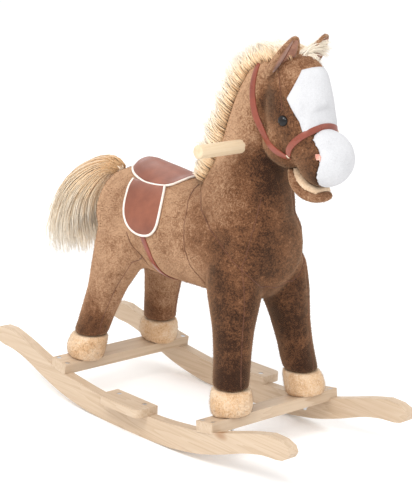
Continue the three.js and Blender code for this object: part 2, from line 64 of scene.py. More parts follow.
# ---- camera and light -----------------------------------------------------------------------
CAMERA_PLACE = (-1.7667, -1.8963, 0.9529)
CAMERA_ANGLES = (-43.29, 14.49, 2.43)      # azimuth, elevation and roll
LENS, SENSOR = 117.66, 36
LAMPS_AIM = Vector((0, 0, 0.3))
# Name, place, size and power of each lamp.
LAMPS = (("key", (-1.9, -0.6, 2.5), 1.3, 42), ("fill", (1.6, -2.3, 1.4), 1.8, 4),
         ("spark", (-1.35, -1.9, 1.87), 0.4, 11), ("rim", (0.9, 2.4, 2.0), 1.4, 16))


def make_camera():
    azimuth, elevation, roll = (math.radians(angle) for angle in CAMERA_ANGLES)
    back = Vector((math.sin(azimuth) * math.cos(elevation),
                   -math.cos(azimuth) * math.cos(elevation), math.sin(elevation)))
    right = Vector((0, 0, 1)).cross(back).normalized()
    up = back.cross(right)
    tilted_right = math.cos(roll) * right + math.sin(roll) * up
    tilted_up = math.cos(roll) * up - math.sin(roll) * right
    camera = bpy.data.objects.new("camera", bpy.data.cameras.new("camera"))
    scene.collection.objects.link(camera)
    camera.matrix_world = Matrix((tilted_right, tilted_up, back)).transposed().to_4x4()
    camera.location = CAMERA_PLACE
    camera.data.lens, camera.data.sensor_width = LENS, SENSOR
    scene.camera = camera


def make_lights():
    world = bpy.data.worlds.new("studio")
    world.use_nodes = True
    backdrop = world.node_tree.nodes["Background"]
    backdrop.inputs["Color"].default_value = (1, 1, 1, 1)
    backdrop.inputs["Strength"].default_value = 1.0
    scene.world = world
    scene.view_settings.view_transform = "Standard"
    for name, place, size, power in LAMPS:
        lamp = bpy.data.objects.new(name, bpy.data.lights.new(name, "AREA"))
        lamp.data.energy, lamp.data.size = power, size
        lamp.location = place
        lamp.rotation_mode = "QUATERNION"
        lamp.rotation_quaternion = (LAMPS_AIM - lamp.location).to_track_quat("-Z", "Y")
        scene.collection.objects.link(lamp)


# ---- materials ------------------------------------------------------------------------------
def srgb(*values):
    """A colour given as 0 to 255 display values, in linear light."""
    return tuple((v / 255 / 12.92) if v <= 10 else ((v / 255 + 0.055) / 1.055) ** 2.4
                 for v in values) + (1.0,)


class Shader:
    """A node material with one Principled shader, and short ways to add nodes to it."""

    def __init__(self, name, roughness, **sockets):
        self.material = bpy.data.materials.new(name)
        self.material.use_nodes = True
        self.tree = self.material.node_tree
        self.shader = self.tree.nodes["Principled BSDF"]
        self.shader.inputs["Roughness"].default_value = roughness
        for socket, value in sockets.items():
            self.shader.inputs[socket.replace("_", " ")].default_value = value
        self.place = self.add("ShaderNodeTexCoord").outputs["Object"]

    def add(self, kind, inputs=None, **settings):
        node = self.tree.nodes.new(kind)
        for key, value in settings.items():
            setattr(node, key, value)
        for key, value in (inputs or {}).items():
            if isinstance(value, bpy.types.NodeSocket):
                self.tree.links.new(value, node.inputs[key])
            else:
                node.inputs[key].default_value = value
        return node

    def stretched(self, scale, turn=(0, 0, 0)):
        inputs = {"Vector": self.place, "Scale": scale, "Rotation": turn}
        return self.add("ShaderNodeMapping", inputs).outputs[0]

    def noise(self, scale, detail=3, roughness=0.55, distortion=0.0, at=None):
        inputs = {"Vector": at or self.place, "Scale": scale, "Detail": detail, "Roughness": roughness,
                  "Distortion": distortion}
        return self.add("ShaderNodeTexNoise", inputs).outputs["Fac"]

    def cells(self, scale, at=None):
        inputs = {"Vector": at or self.place, "Scale": scale}
        return self.add("ShaderNodeTexVoronoi", inputs).outputs["Distance"]

    def attribute(self, name):
        return self.add("ShaderNodeAttribute", attribute_name=name).outputs["Fac"]

    def maths(self, operation, a, b=0.0, c=0.0, clamp=False):
        inputs = {0: a, 1: b, 2: c}
        return self.add("ShaderNodeMath", inputs, operation=operation, use_clamp=clamp).outputs[0]

    def scaled(self, value, by, plus=0.0):
        return self.maths("MULTIPLY_ADD", value, by, plus)

    def ramp(self, value, *stops):
        node = self.add("ShaderNodeValToRGB", {"Fac": value})
        while len(node.color_ramp.elements) < len(stops):
            node.color_ramp.elements.new(0.5)
        for element, (position, colour) in zip(node.color_ramp.elements, stops):
            element.position = position
            element.color = colour
        return node.outputs["Color"]

    def mix(self, share, a, b):
        return self.add("ShaderNodeMix", {0: share, 6: a, 7: b}, data_type="RGBA").outputs[2]

    def finish(self, colour, roughness=None, bump=None):
        """Links the results to the shader. bump is (height, strength, distance)."""
        links = {"Base Color": colour}
        if roughness is not None:
            links["Roughness"] = roughness
        if bump:
            inputs = dict(zip(("Height", "Strength", "Distance"), bump))
            links["Normal"] = self.add("ShaderNodeBump", inputs).outputs["Normal"]
        for socket, value in links.items():
            self.tree.links.new(value, self.shader.inputs[socket])
        return self.material


GREY, BLACK_STOP, WHITE_STOP = (0.5, 0.5, 0.5, 1), (0, 0, 0, 1), (1, 1, 1, 1)

KNOT_TONE = srgb(150, 105, 66)


def wood(name, axis, tones, knots=True):
    """Planed softwood: fine streaks and growth lines along one axis, and a few knots."""
    s = Shader(name, 0.55)

    def lengthwise(across, down):
        return s.stretched([down if i == axis else across for i in range(3)])

    streak = s.noise(1.0, 4, 0.6, at=lengthwise(170.0, 5.0))
    rings = s.noise(1.0, 3, 0.55, 1.2, at=lengthwise(26.0, 1.6))
    lines = s.maths("FRACT", s.scaled(rings, 9.0))
    colour = s.ramp(s.maths("ADD", s.scaled(streak, 0.75), s.scaled(lines, 0.25)),
                    (0.15, tones[0]), (0.5, tones[1]), (0.85, tones[2]))
    if knots:
        knot = s.cells(1.0, at=lengthwise(7.0, 3.4))
        colour = s.mix(s.ramp(knot, (0.02, WHITE_STOP), (0.07, BLACK_STOP)), colour, KNOT_TONE)
    return s.finish(colour, s.scaled(streak, 0.3, 0.42),
                    (s.maths("ADD", streak, s.scaled(lines, 0.4)), 0.25, 0.0006))


def plush(name, tones, tip, sheen=0.35, grain=420):
    """Short pile. Attribute shade runs from the dark to the light tone and tip is 1 at a fibre's end."""
    s = Shader(name, 0.85, Sheen_Weight=sheen, Sheen_Roughness=0.5, Sheen_Tint=tip,
               Specular_IOR_Level=0.15)
    speckle = s.scaled(s.noise(grain, 2, 0.7), 1.0, -0.5)
    tufts = s.scaled(s.noise(grain * 0.36, 3, 0.65), 0.55, -0.275)
    shade = s.maths("ADD", s.attribute("shade"), s.maths("ADD", speckle, tufts))
    colour = s.ramp(shade, (0.08, tones[0]), (0.45, tones[1]), (0.85, tones[2]))
    # Fibre ends mixed towards the tip colour: partly the pile's paler tips, partly painted rim sheen.
    colour = s.mix(s.scaled(s.attribute("tip"), 0.24), colour, tip)
    return s.finish(colour, bump=(s.noise(grain * 1.6, 3, 0.7), 0.35, 0.0008))


def hair_material(name, root, middle, end):
    s = Shader(name, 0.5, Sheen_Weight=0.25, Specular_IOR_Level=0.35)
    lock = s.scaled(s.attribute("shade"), 0.7, -0.35)
    along = s.maths("ADD", s.attribute("tip"), lock, clamp=True)
    colour = s.ramp(along, (0.0, root), (0.38, middle), (0.8, end))
    colour = s.mix(s.scaled(s.noise(900, 2), 0.35), colour, s.mix(0.5, colour, root))
    return s.finish(colour, bump=(s.noise(700, 3), 0.3, 0.0004))


def leather(name, dark, light, roughness=0.4, grain=900):
    """Smooth leatherette with a fine pebbled grain, faint scuffs and wear towards the light tone."""
    s = Shader(name, roughness, Coat_Weight=0.12, Coat_Roughness=0.3)
    cloudy = s.ramp(s.noise(24, 4, 0.6), (0.3, dark), (0.75, light))
    pores = s.cells(grain)
    return s.finish(s.mix(s.scaled(pores, 0.25), cloudy, dark),
                    s.scaled(s.noise(60, 3), 0.22, roughness - 0.11),
                    (s.maths("ADD", pores, s.scaled(s.noise(180, 3), 0.6)), 0.22, 0.0004))


def cloth(name, dark, light, threads=1500, roughness=0.8, sheen=0.2):
    """Closely woven cloth, with crossing threads too fine to count and some soiling."""
    s = Shader(name, roughness, Sheen_Weight=sheen)

    def crossing(axis, squeeze):
        place = s.add("ShaderNodeSeparateXYZ", {0: s.stretched((1, 1, squeeze), (0.4, 0.3, 0.6))})
        return s.maths("SINE", s.scaled(place.outputs[axis], threads * 2.0))

    weave = s.scaled(s.maths("MULTIPLY", crossing(0, 0.3), crossing(2, 1)), 0.5, 0.5)
    soiled = s.ramp(s.noise(70, 4), (0.3, dark), (0.7, light))
    return s.finish(s.mix(s.scaled(weave, 0.3), soiled, dark), bump=(weave, 0.3, 0.0004))


def metal(name, tone, roughness):
    """Plated metal with brushed fine lines and a dulling haze."""
    s = Shader(name, roughness, Metallic=1.0)
    haze = s.noise(260, 4, 0.6)
    brushed = s.noise(1.0, 3, at=s.stretched((300, 4000, 4000)))
    return s.finish(s.mix(s.scaled(haze, 0.5), tone, GREY), s.scaled(haze, 0.3, roughness - 0.12),
                    (brushed, 0.12, 0.0002))


def eye_material():
    s = Shader("eye_gloss", 0.07, Specular_IOR_Level=0.35)
    depth = s.noise(120, 3)
    return s.finish(s.ramp(depth, (0.3, srgb(6, 6, 9)), (0.7, srgb(24, 16, 14))), s.scaled(depth, 0.05, 0.04))


PINE_TONES = (srgb(176, 150, 122), srgb(196, 173, 147), srgb(207, 187, 164))
DOWEL_TONES = (srgb(198, 174, 140), srgb(212, 190, 158), srgb(220, 201, 173))
BROWN = (srgb(44, 24, 14), srgb(112, 74, 49), srgb(174, 138, 108))
TAN = (srgb(158, 112, 72), srgb(208, 172, 134), srgb(226, 204, 178))
WHITE = (srgb(180, 180, 182), srgb(195, 195, 197), srgb(205, 205, 207))
BEIGE = (srgb(170, 138, 108), srgb(205, 176, 145), srgb(226, 202, 174))
# Tip colour and sheen tint of the brown pile; at the fibre ends it is partly painted rim sheen.
PILE_TIP_AND_SHEEN = srgb(198, 158, 124)
M = {
    "pine_y": wood("pine_along_y", 1, PINE_TONES),
    "pine_x": wood("pine_along_x", 0, PINE_TONES),
    "dowel": wood("dowel_wood", 0, DOWEL_TONES, knots=False),
    "brown": plush("brown_plush", BROWN, PILE_TIP_AND_SHEEN, 0.8),
    "tan": plush("tan_plush", TAN, srgb(238, 222, 200)),
    "white": plush("white_plush", WHITE, srgb(220, 220, 222), 0.08, 600),
    "mouth": plush("mouth_fabric", BEIGE, srgb(240, 222, 200)),
    "hair": hair_material("long_hair", srgb(210, 168, 122), srgb(239, 214, 178), srgb(252, 243, 226)),
    "saddle": leather("saddle_leather", srgb(116, 60, 38), srgb(150, 86, 60), 0.46),
    "strap": leather("strap_leather", srgb(112, 50, 34), srgb(150, 74, 54), 0.3),
    "piping": cloth("piping_cloth", srgb(222, 208, 196), srgb(246, 238, 230)),
    "lining": cloth("ear_lining", srgb(120, 76, 58), srgb(176, 126, 100), 900, 0.5, 0.4),
    "thread": cloth("seam_thread", srgb(88, 48, 30), srgb(124, 76, 50), 2500),
    "pink": cloth("nostril_thread", srgb(214, 140, 120), srgb(240, 190, 172), 2500, 0.5),
    "steel": metal("zinc_steel", (0.62, 0.62, 0.64, 1), 0.35),
    "brass": metal("pale_brass", (0.86, 0.74, 0.55, 1), 0.25),
    "eye": eye_material(),
}


# ---- mesh helpers ---------------------------------------------------------------------------
def vectors(collection, key):
    values = np.empty(len(collection) * 3, np.float32)
    collection.foreach_get(key, values)
    return values.reshape(-1, 3).astype(float)


def points_of(mesh):
    return vectors(mesh.vertices, "co")


def normals_of(mesh):
    return vectors(mesh.vertex_normals, "vector")


def unit(rows):
    """Each vector of the last axis at length 1."""
    return rows / np.maximum(np.linalg.norm(rows, axis=-1, keepdims=True), 1e-9)


def laid(flow, normals):
    """A flow pressed flat on the skin, at length 1."""
    return unit(flow - normals * (flow * normals).sum(1, keepdims=True))


def set_points(mesh, points):
    mesh.vertices.foreach_set("co", np.asarray(points, np.float32).ravel())
    mesh.update()


def paint(mesh, name, values):
    """A number per vertex that the materials read."""
    layer = mesh.attributes.get(name) or mesh.attributes.new(name, "FLOAT", "POINT")
    layer.data.foreach_set("value", np.asarray(values, np.float32))


def new_object(name, points, faces, material):
    mesh = bpy.data.meshes.new(name)
    mesh.from_pydata([tuple(p) for p in np.asarray(points, float)], [], [tuple(map(int, f)) for f in faces])
    return finished(name, mesh, material)


def finished(name, mesh, material):
    mesh.materials.clear()
    mesh.materials.append(M[material])
    mesh.polygons.foreach_set("use_smooth", [True] * len(mesh.polygons))
    mesh.update()
    piece = bpy.data.objects.new(name, mesh)
    scene.collection.objects.link(piece)
    return piece


def triangles_object(name, points, triangles, material):
    """As new_object, but quick for a very large number of triangles."""
    mesh, count = bpy.data.meshes.new(name), len(triangles)
    mesh.vertices.add(len(points))
    mesh.vertices.foreach_set("co", np.asarray(points, np.float32).ravel())
    mesh.loops.add(count * 3)
    mesh.loops.foreach_set("vertex_index", np.asarray(triangles, np.int32).ravel())
    mesh.polygons.add(count)
    mesh.polygons.foreach_set("loop_start", np.arange(0, count * 3, 3, dtype=np.int32))
    mesh.validate()
    return finished(name, mesh, material)


def settle(piece, body="horse", stands_for=()):
    """Declares what a finished piece rides on and the CAD nodes it stands for."""
    if body:
        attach(piece, body)
    if stands_for:
        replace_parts(piece, *stands_for)
    return piece


def baked(piece):
    """Turns the piece's modifiers into its mesh."""
    bpy.context.view_layer.update()
    graph = bpy.context.evaluated_depsgraph_get()
    mesh = bpy.data.meshes.new_from_object(piece.evaluated_get(graph), depsgraph=graph)
    piece.modifiers.clear()
    piece.data = mesh
    return piece


def joined_nodes(name, nodes, material, extra=()):
    """CAD nodes and any extra (points, faces) as one piece."""
    meshes = [NODES[node].data for node in nodes]
    parts = [(points_of(mesh), [tuple(p.vertices) for p in mesh.polygons]) for mesh in meshes]
    return new_object(name, *gathered([*parts, *extra]), material)


def largest_part(piece):
    """Drops every part of the mesh but the largest, such as walls left inside."""
    mesh = piece.data
    edges = np.empty(len(mesh.edges) * 2, np.int32)
    mesh.edges.foreach_get("vertices", edges)
    a, b = edges.reshape(-1, 2).T
    label, before = np.arange(len(mesh.vertices)), None
    while before is None or (label != before).any():
        low, before = np.minimum(label[a], label[b]), label.copy()
        np.minimum.at(label, a, low)
        np.minimum.at(label, b, low)
        label = label[label]
    names, counts = np.unique(label, return_counts=True)
    work = bmesh.new()
    work.from_mesh(mesh)
    inside = [v for v, part in zip(work.verts, label) if part != names[counts.argmax()]]
    bmesh.ops.delete(work, geom=inside, context="VERTS")
    work.to_mesh(mesh)
    work.free()


def modified(piece, kind, **settings):
    """Adds one modifier and makes its result the piece's mesh."""
    modifier = piece.modifiers.new(kind.lower(), kind)
    for key, value in settings.items():
        setattr(modifier, key, value)
    return baked(piece)


def remeshed(piece, voxel, smoothing=4):
    modified(piece, "REMESH", mode="VOXEL", voxel_size=voxel * MM, use_smooth_shade=True)
    largest_part(piece)
    return modified(piece, "SMOOTH", factor=0.5, iterations=smoothing)


SWELLING_FRAMES = 20


def stuffed(piece, cap, pinned=None, pressure=3.0):
    """Swells a remeshed cover with a short cloth simulation. No point moves further than cap."""
    before = points_of(piece.data)
    swelling = piece.modifiers.new("stuffing", "CLOTH")
    settings = swelling.settings
    settings.quality, settings.use_pressure, settings.uniform_pressure_force = 4, True, pressure
    settings.effector_weights.gravity = 0
    swelling.collision_settings.use_collision = False
    if pinned is not None:
        group = piece.vertex_groups.new(name="sewn")
        levels = np.round(pinned, 1)
        for level in np.unique(levels[levels > 0]):
            group.add(np.nonzero(np.abs(levels - level) < 0.01)[0].tolist(), float(level), "REPLACE")
        settings.vertex_group_mass, settings.pin_stiffness = "sewn", 2
    swelling.point_cache.frame_start, swelling.point_cache.frame_end = 1, SWELLING_FRAMES
    for step in range(1, SWELLING_FRAMES + 1):
        scene.frame_set(step)
    baked(piece)
    scene.frame_set(1)
    moved = points_of(piece.data) - before
    reach = np.linalg.norm(moved, axis=1, keepdims=True)
    set_points(piece.data, before + moved * np.minimum(1, cap * MM / np.maximum(reach, 1e-9)))


class Surface:
    """The skin of one or more meshes, for finding the nearest or first point on it."""

    def __init__(self, *pieces):
        meshes = [piece.data for piece in pieces]
        self.points = np.concatenate([points_of(mesh) for mesh in meshes])
        self.normals = np.concatenate([normals_of(mesh) for mesh in meshes])
        corners, start = [], 0
        for mesh in meshes:
            mesh.calc_loop_triangles()
            part = np.empty(len(mesh.loop_triangles) * 3, np.int32)
            mesh.loop_triangles.foreach_get("vertices", part)
            corners.append(part.reshape(-1, 3) + start)
            start += len(mesh.vertices)
        self.triangles = np.concatenate(corners)
        self.tree = BVHTree.FromPolygons([Vector(p) for p in self.points], self.triangles.tolist())

    def found(self, point, _, index, __):
        """The point and the skin's smooth outward normal there."""
        a, b, c = self.points[self.triangles[index]]
        weights = np.linalg.lstsq(np.array([b - a, c - a]).T, np.array(point) - a, rcond=None)[0]
        na, nb, nc = self.normals[self.triangles[index]]
        return np.array(point), unit(na * (1 - weights.sum()) + nb * weights[0] + nc * weights[1])

    def nearest(self, point):
        return self.found(*self.tree.find_nearest(Vector(point)))

    def hit(self, start, direction):
        return self.found(*self.tree.ray_cast(Vector(start), Vector(direction)))

    def lifted(self, point, rise):
        """The nearest point of the skin, raised off it by rise millimetres."""
        near, normal = self.nearest(point)
        return near + normal * rise * MM

    def scatter(self, spacing):
        """Points spread evenly over the skin, about one per spacing squared, and their normals."""
        a, b, c = (self.points[self.triangles[:, i]] for i in range(3))
        areas = np.linalg.norm(np.cross(b - a, c - a), axis=1) / 2
        count = int(areas.sum() / (spacing * MM) ** 2)
        ends = np.cumsum(areas)
        picked = np.searchsorted(ends, (np.arange(count) + draw.random(count)) / count * ends[-1])
        picked = np.minimum(picked, len(areas) - 1)
        u, v = draw.random(count), draw.random(count)
        over = u + v > 1
        u[over], v[over] = 1 - u[over], 1 - v[over]
        w = np.stack([1 - u - v, u, v], axis=1)[:, :, None]
        corners = self.triangles[picked]
        return (self.points[corners] * w).sum(1), unit((self.normals[corners] * w).sum(1))


def along(line, count, side=1):
    """count points evenly spaced on a smooth line through the given points. Side -1 mirrors the line."""
    line = np.array(line, float)
    line[:, 0] *= side
    padded = np.vstack([2 * line[0] - line[1], line, 2 * line[-1] - line[-2]])
    fine = []
    for i in range(1, len(padded) - 2):
        p0, p1, p2, p3 = padded[i - 1: i + 3]
        for t in np.linspace(0, 1, 12, endpoint=False):
            fine.append(0.5 * (2 * p1 + (p2 - p0) * t + (2 * p0 - 5 * p1 + 4 * p2 - p3) * t ** 2
                               + (3 * p1 - p0 - 3 * p2 + p3) * t ** 3))
    fine = np.array([*fine, line[-1]])
    far = np.concatenate([[0], np.cumsum(np.linalg.norm(np.diff(fine, axis=0), axis=1))])
    where = np.linspace(0, far[-1], count)
    return np.stack([np.interp(where, far, fine[:, k]) for k in range(fine.shape[1])], axis=1)


def turned_over(faces, flip=True):
    return [(face[0], *face[:0:-1]) for face in faces] if flip else faces


def loft(rings, wrapped=False, flip=False):
    """Points and faces of a skin over rings of equally many points, closed at both ends or wrapped round."""
    rings = np.asarray(rings, float)
    n, sides = rings.shape[:2]
    faces = []
    for i in range(n if wrapped else n - 1):
        far = ((i + 1) % n - i) * sides
        for k in range(sides):
            a, b = i * sides + k, i * sides + (k + 1) % sides
            faces.append((a, b, b + far, a + far))
    if not wrapped:
        faces += [tuple(range(sides))[::-1], tuple(range((n - 1) * sides, n * sides))]
    return rings.reshape(-1, 3), turned_over(faces, flip)


def grid(rows, columns):
    """Faces of a sheet of rows times columns points."""
    return [(a, a + 1, a + columns + 1, a + columns)
            for i in range(rows - 1) for a in range(i * columns, (i + 1) * columns - 1)]


def shell(outer, inner, columns, flip=False):
    """Points and faces of a thin closed sheet. outer and inner are its two sides, row after row."""
    rows, shift = len(outer) // columns, len(outer)
    faces = grid(rows, columns)
    faces += [tuple(v + shift for v in face) for face in turned_over(faces)]
    last = (rows - 1) * columns
    ring = [*range(columns), *range(2 * columns - 1, last + columns, columns),
            *range(last + columns - 2, last - 1, -1), *range(last - columns, 0, -columns)]
    faces += [(b, a, a + shift, b + shift) for a, b in zip(ring, ring[1:] + ring[:1])]
    return [*outer, *inner], turned_over(faces, flip)


def circle(sides):
    """Cosine and sine of equal steps round a circle."""
    return [(math.cos(2 * math.pi * k / sides), math.sin(2 * math.pi * k / sides)) for k in range(sides)]


def tube(path, radius, sides=8, closed=False):
    """Points and faces of a round cord along a path."""
    path = np.asarray(path, float)
    tangents = unit(np.roll(path, -1, 0) - np.roll(path, 1, 0) if closed else np.gradient(path, axis=0))
    side = np.cross(tangents[0], (0.3, 0.2, 0.93))
    rings = []
    for place, tangent in zip(path, tangents):
        side = unit(side - tangent * side.dot(tangent))
        up = np.cross(tangent, side)
        rings.append([place + (side * c + up * s) * radius for c, s in circle(sides)])
    return loft(rings, closed)


def gathered(parts):
    """Several (points, faces) as one."""
    points, faces = [], []
    for part_points, part_faces in parts:
        faces += [tuple(v + len(points) for v in face) for face in part_faces]
        points += list(part_points)
    return points, faces


def random_field(points, size, seed):
    """Smooth noise from about -1 to 1 at each point. size is the width of its bumps in millimetres."""
    scale = 1 / (size * MM)
    shift = Vector((seed * 7.3, seed * 3.1, seed * 5.7))
    return np.array([noise.noise(Vector(p) * scale + shift) for p in points])


# ---- stuffed body ---------------------------------------------------------------------------
# Seams sewn on the right and left sides alike: (distance from the middle plane, Y, Z).
SIDE_SEAMS = (
    ((34, -176, 408), (47, -180, 376), (58, -180, 346), (66, -180, 318), (69, -177, 299), (72, -190, 250),
     (76, -196, 200), (80, -200, 150), (83, -205, 116)),
    ((50, -50, 398), (64, -76, 374), (80, -110, 352), (82, -136, 334), (78, -158, 314), (69, -177, 299),
     (49, -191, 279), (20, -193, 262), (0, -193, 256)),
    ((18, -15, 402), (52, -30, 388), (74, -46, 362), (86, -55, 330), (85, -62, 300), (73, -71, 273),
     (58, -84, 258)),
    ((84, 84, 306), (80, 78, 288), (70, 59, 266), (60, 56, 250)),
    ((70, 59, 266), (72, 78, 246), (74, 104, 214), (76, 130, 180), (80, 148, 140), (82, 156, 112)),
    ((22, -186, 622), (40, -206, 596), (48, -218, 566), (50, -222, 552)),
)
MIDDLE_SEAM = (0, 198, 352), (0, 204, 330), (0, 196, 300), (0, 176, 262)
# Where the pile is painted light or dark: (|x|, Y, Z, reach, lightness). Light over the back and flanks,
# darkest under the throat, on the chest and low on the legs: partly the pile's own tone, partly painted shade.
PILE_TONES_AND_SHADE = np.array([
    (60, 165, 345, 80, 0.74), (70, 60, 320, 80, 0.72), (20, 90, 236, 70, 0.78), (60, -40, 300, 50, 0.62),
    (40, 40, 400, 60, 0.66), (60, -80, 385, 45, 0.50), (50, -110, 440, 40, 0.62), (45, -110, 520, 50, 0.74),
    (35, -130, 585, 35, 0.70), (55, -150, 400, 40, 0.44), (30, -195, 400, 50, 0.12), (0, -200, 440, 50, 0.02),
    (20, -205, 340, 50, 0.34), (60, -150, 310, 40, 0.34), (70, -165, 230, 45, 0.20),
    (75, -175, 160, 40, 0.15),
    (80, -182, 118, 22, 0.02), (60, 130, 270, 50, 0.66), (72, 160, 200, 45, 0.52), (78, 175, 140, 30, 0.30),
    (82, 182, 116, 18, 0.10), (48, -195, 560, 26, 0.16), (50, -222, 530, 26, 0.34), (46, -190, 505, 22, 0.44),
    (40, -250, 505, 20, 0.42), (42, -268, 478, 20, 0.28), (36, -220, 470, 24, 0.46), (25, -225, 605, 26, 0.52),
    (46, -210, 590, 20, 0.46), (0, -150, 350, 60, 0.40),
], float)


def pile_tone_and_shade(points):
    """Lightness of the plush at each point, from its place on the horse and a slow mottling,
    with painted shade under the throat, on the chest and low on the legs.
    """
    p = points / MM
    p = np.column_stack([np.abs(p[:, 0]), p[:, 1], p[:, 2]])
    far = np.linalg.norm(p[:, None, :] - PILE_TONES_AND_SHADE[None, :, :3], axis=2) / PILE_TONES_AND_SHADE[None, :, 3]
    weight = np.exp(-far ** 2) + 1e-6
    tone = (weight * PILE_TONES_AND_SHADE[:, 4]).sum(1) / weight.sum(1)
    tone = 0.50 + 1.15 * (tone - 0.5)
    return tone + 0.20 * random_field(points, 42, 1) + 0.12 * random_field(points, 15, 2)


def nap_direction(points, normals):
    """The way the pile lies: back over the trunk, down the neck and legs, up and back over the head."""
    p = points / MM
    flow = np.tile((0.0, 0.8, -0.45), (len(p), 1))
    neck = np.clip((p[:, 2] - 380) / 50, 0, 1) * np.clip((-40 - p[:, 1]) / 40, 0, 1)
    head = np.clip((-180 - p[:, 1]) / 30, 0, 1) * np.clip((p[:, 2] - 440) / 20, 0, 1)
    chest = np.clip((-140 - p[:, 1]) / 40, 0, 1) * np.clip((440 - p[:, 2]) / 20, 0, 1)
    legs = np.clip((270 - p[:, 2]) / 30, 0, 1)
    ways = (0, 0.35, -0.9), (0, 0.75, 0.5), (0, 0.1, -1), (0, 0, -1)
    for share, way in zip((neck, head, chest, legs), ways):
        flow = flow * (1 - share[:, None]) + np.array(way) * share[:, None]
    flow[:, 0] += 0.55 * random_field(points, 30, 3) + 0.3 * random_field(points, 9, 4)
    flow[:, 1] += 0.45 * random_field(points, 26, 5)
    flow[:, 2] += 0.45 * random_field(points, 28, 6)
    return laid(flow, normals)


def seam_lines():
    sides = [along(line, 60, side) for _, side in SIDES for line in SIDE_SEAMS]
    return [line * MM for line in (along(MIDDLE_SEAM, 40), *sides)]


def line_distance(points, lines):
    spots = np.concatenate(lines)
    nearest = np.full(len(points), 1e9)
    for start in range(0, len(points), 20000):
        part = points[start: start + 20000]
        nearest[start: start + 20000] = np.linalg.norm(part[:, None, :] - spots[None], axis=2).min(1)
    return nearest

TRUNK = ["torso", "head_and_neck"]
LEGS = [f"{end}_{side}_leg" for end, _ in ENDS for side, _ in SIDES]
# Leg posts reach below the plush, so what of them is under the hooves' tops is pulled up inside.
POSTS_CUT, COVER_ENDS = 0.108, 0.116
HANDLE_BULGE = 9.0


def make_cover():
    """One sewn cover over trunk, neck, head and legs, swollen by its stuffing and pulled in at the seams."""
    low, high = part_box("handle_dowel")
    middle = (low + high) / 2
    plug = tube([(x * MM, middle.y, middle.z) for x in np.linspace(-55, 55, 5)],
                (high.z - low.z) / 2 + 2 * MM, 12)
    inside = ["spine_board", "neck_post"]
    posts = [leg + "_post" for leg in LEGS]
    cover = joined_nodes("body_cover", [*TRUNK, *inside, *LEGS, *posts], "brown", [plug])
    points = points_of(cover.data)
    points[:, 2] = np.maximum(points[:, 2], POSTS_CUT)
    set_points(cover.data, points)
    remeshed(cover, 4.2, 6)
    sewn, points = seam_lines(), points_of(cover.data)
    grip = np.clip(1.4 - line_distance(points, sewn) / (9 * MM), 0, 1)
    stuffed(cover, 3.0, np.maximum(grip, points[:, 2] < COVER_ENDS))
    modified(cover, "SMOOTH", factor=0.5, iterations=2)
    points, normals = points_of(cover.data), normals_of(cover.data)
    distance = line_distance(points, sewn) / MM
    sink = 1.5 * np.exp(-(distance / 4.2) ** 2) + 1.2 * np.exp(-(distance / 13) ** 2)
    sink -= 0.5 * random_field(points, 34, 8)
    points -= normals * sink[:, None] * MM
    from_handle = np.hypot(points[:, 1] - middle.y, points[:, 2] - middle.z) / MM
    outwards = np.clip(np.abs(points[:, 0]) / MM / 30 - 0.5, 0, 1)
    bulge = HANDLE_BULGE * np.exp(-(from_handle / 30) ** 2) * outwards
    points[:, 0] += np.sign(points[:, 0]) * bulge * MM
    set_points(cover.data, points)
    # Pile tone, with painted shade under the throat, on the chest and low on the legs.
    paint(cover.data, "shade", pile_tone_and_shade(points))
    settle(cover, stands_for=[*TRUNK, *LEGS])
    return cover


PILE_WIDTH, PILE_LIE, PILE_ROOT = 0.55, 0.35, 0.8
PILE_CLEARANCE, SEAM_CLEARANCE = 2.2, 1.1


def clear_of(other):
    return lambda points: np.array([other.tree.find_nearest(Vector(p), PILE_CLEARANCE * MM)[0] is None
                                    for p in points])


def fibres(name, surface, spacing, length, tests=(), tone=pile_tone_and_shade, flow=nap_direction):
    """Short pile: closed three-sided spikes that lean along the nap and lighten towards their ends,
    partly as the pile's paler tips and partly as painted rim sheen. A fibre stands only where every test of its
    root says so."""
    points, normals = surface.scatter(spacing)
    for test in tests:
        keep = test(points)
        points, normals = points[keep], normals[keep]
    n = len(points)
    lean = flow(points, normals) * PILE_LIE + normals * math.sqrt(1 - PILE_LIE ** 2)
    lean = unit(lean + draw.normal(0, 0.22, (n, 3)))
    reach = length * MM * draw.uniform(0.7, 1.25, n)[:, None]
    side = unit(np.cross(lean, normals))
    up = np.cross(side, lean)
    half = PILE_WIDTH * MM * draw.uniform(0.7, 1.2, n)[:, None] / 2
    base = points - normals * PILE_ROOT * MM
    corners = [base + side * half, base - side * half, base + up * half, points + lean * reach]
    stacked = np.stack(corners, axis=1).reshape(-1, 3)
    first = np.arange(n)[:, None] * 4
    triangles = np.concatenate([first + np.array(t) for t in ((0, 3, 1), (1, 3, 2), (2, 3, 0), (0, 1, 2))])
    look = "tan" if "cuff" in name else "brown"
    pile = triangles_object(name, stacked, triangles, look)
    paint(pile.data, "shade", np.repeat(tone(points) + draw.normal(0, 0.10, n), 4))
    paint(pile.data, "tip", np.tile((0, 0, 0, 1.0), n))
    turned_out = np.stack([side, -side, up, lean], axis=1).reshape(-1, 3)
    leaning = unit(np.repeat(normals, 4, axis=0) * 0.9 + turned_out * 0.3)
    pile.data.normals_split_custom_set_from_vertices([tuple(v) for v in leaning])
    settle(pile)


# ---- boards, dowel and fasteners ------------------------------------------------------------
def softened(node, width, material):
    """A board with its long edges rounded over."""
    piece = joined_nodes(node + "_board", [node], material)
    modified(piece, "DECIMATE", decimate_type="DISSOLVE", angle_limit=math.radians(0.5))
    modified(piece, "BEVEL", width=width * MM, segments=3, limit_method="ANGLE", angle_limit=math.radians(35))
    piece.data.set_sharp_from_angle(angle=math.radians(28))
    settle(piece, stands_for=[node])


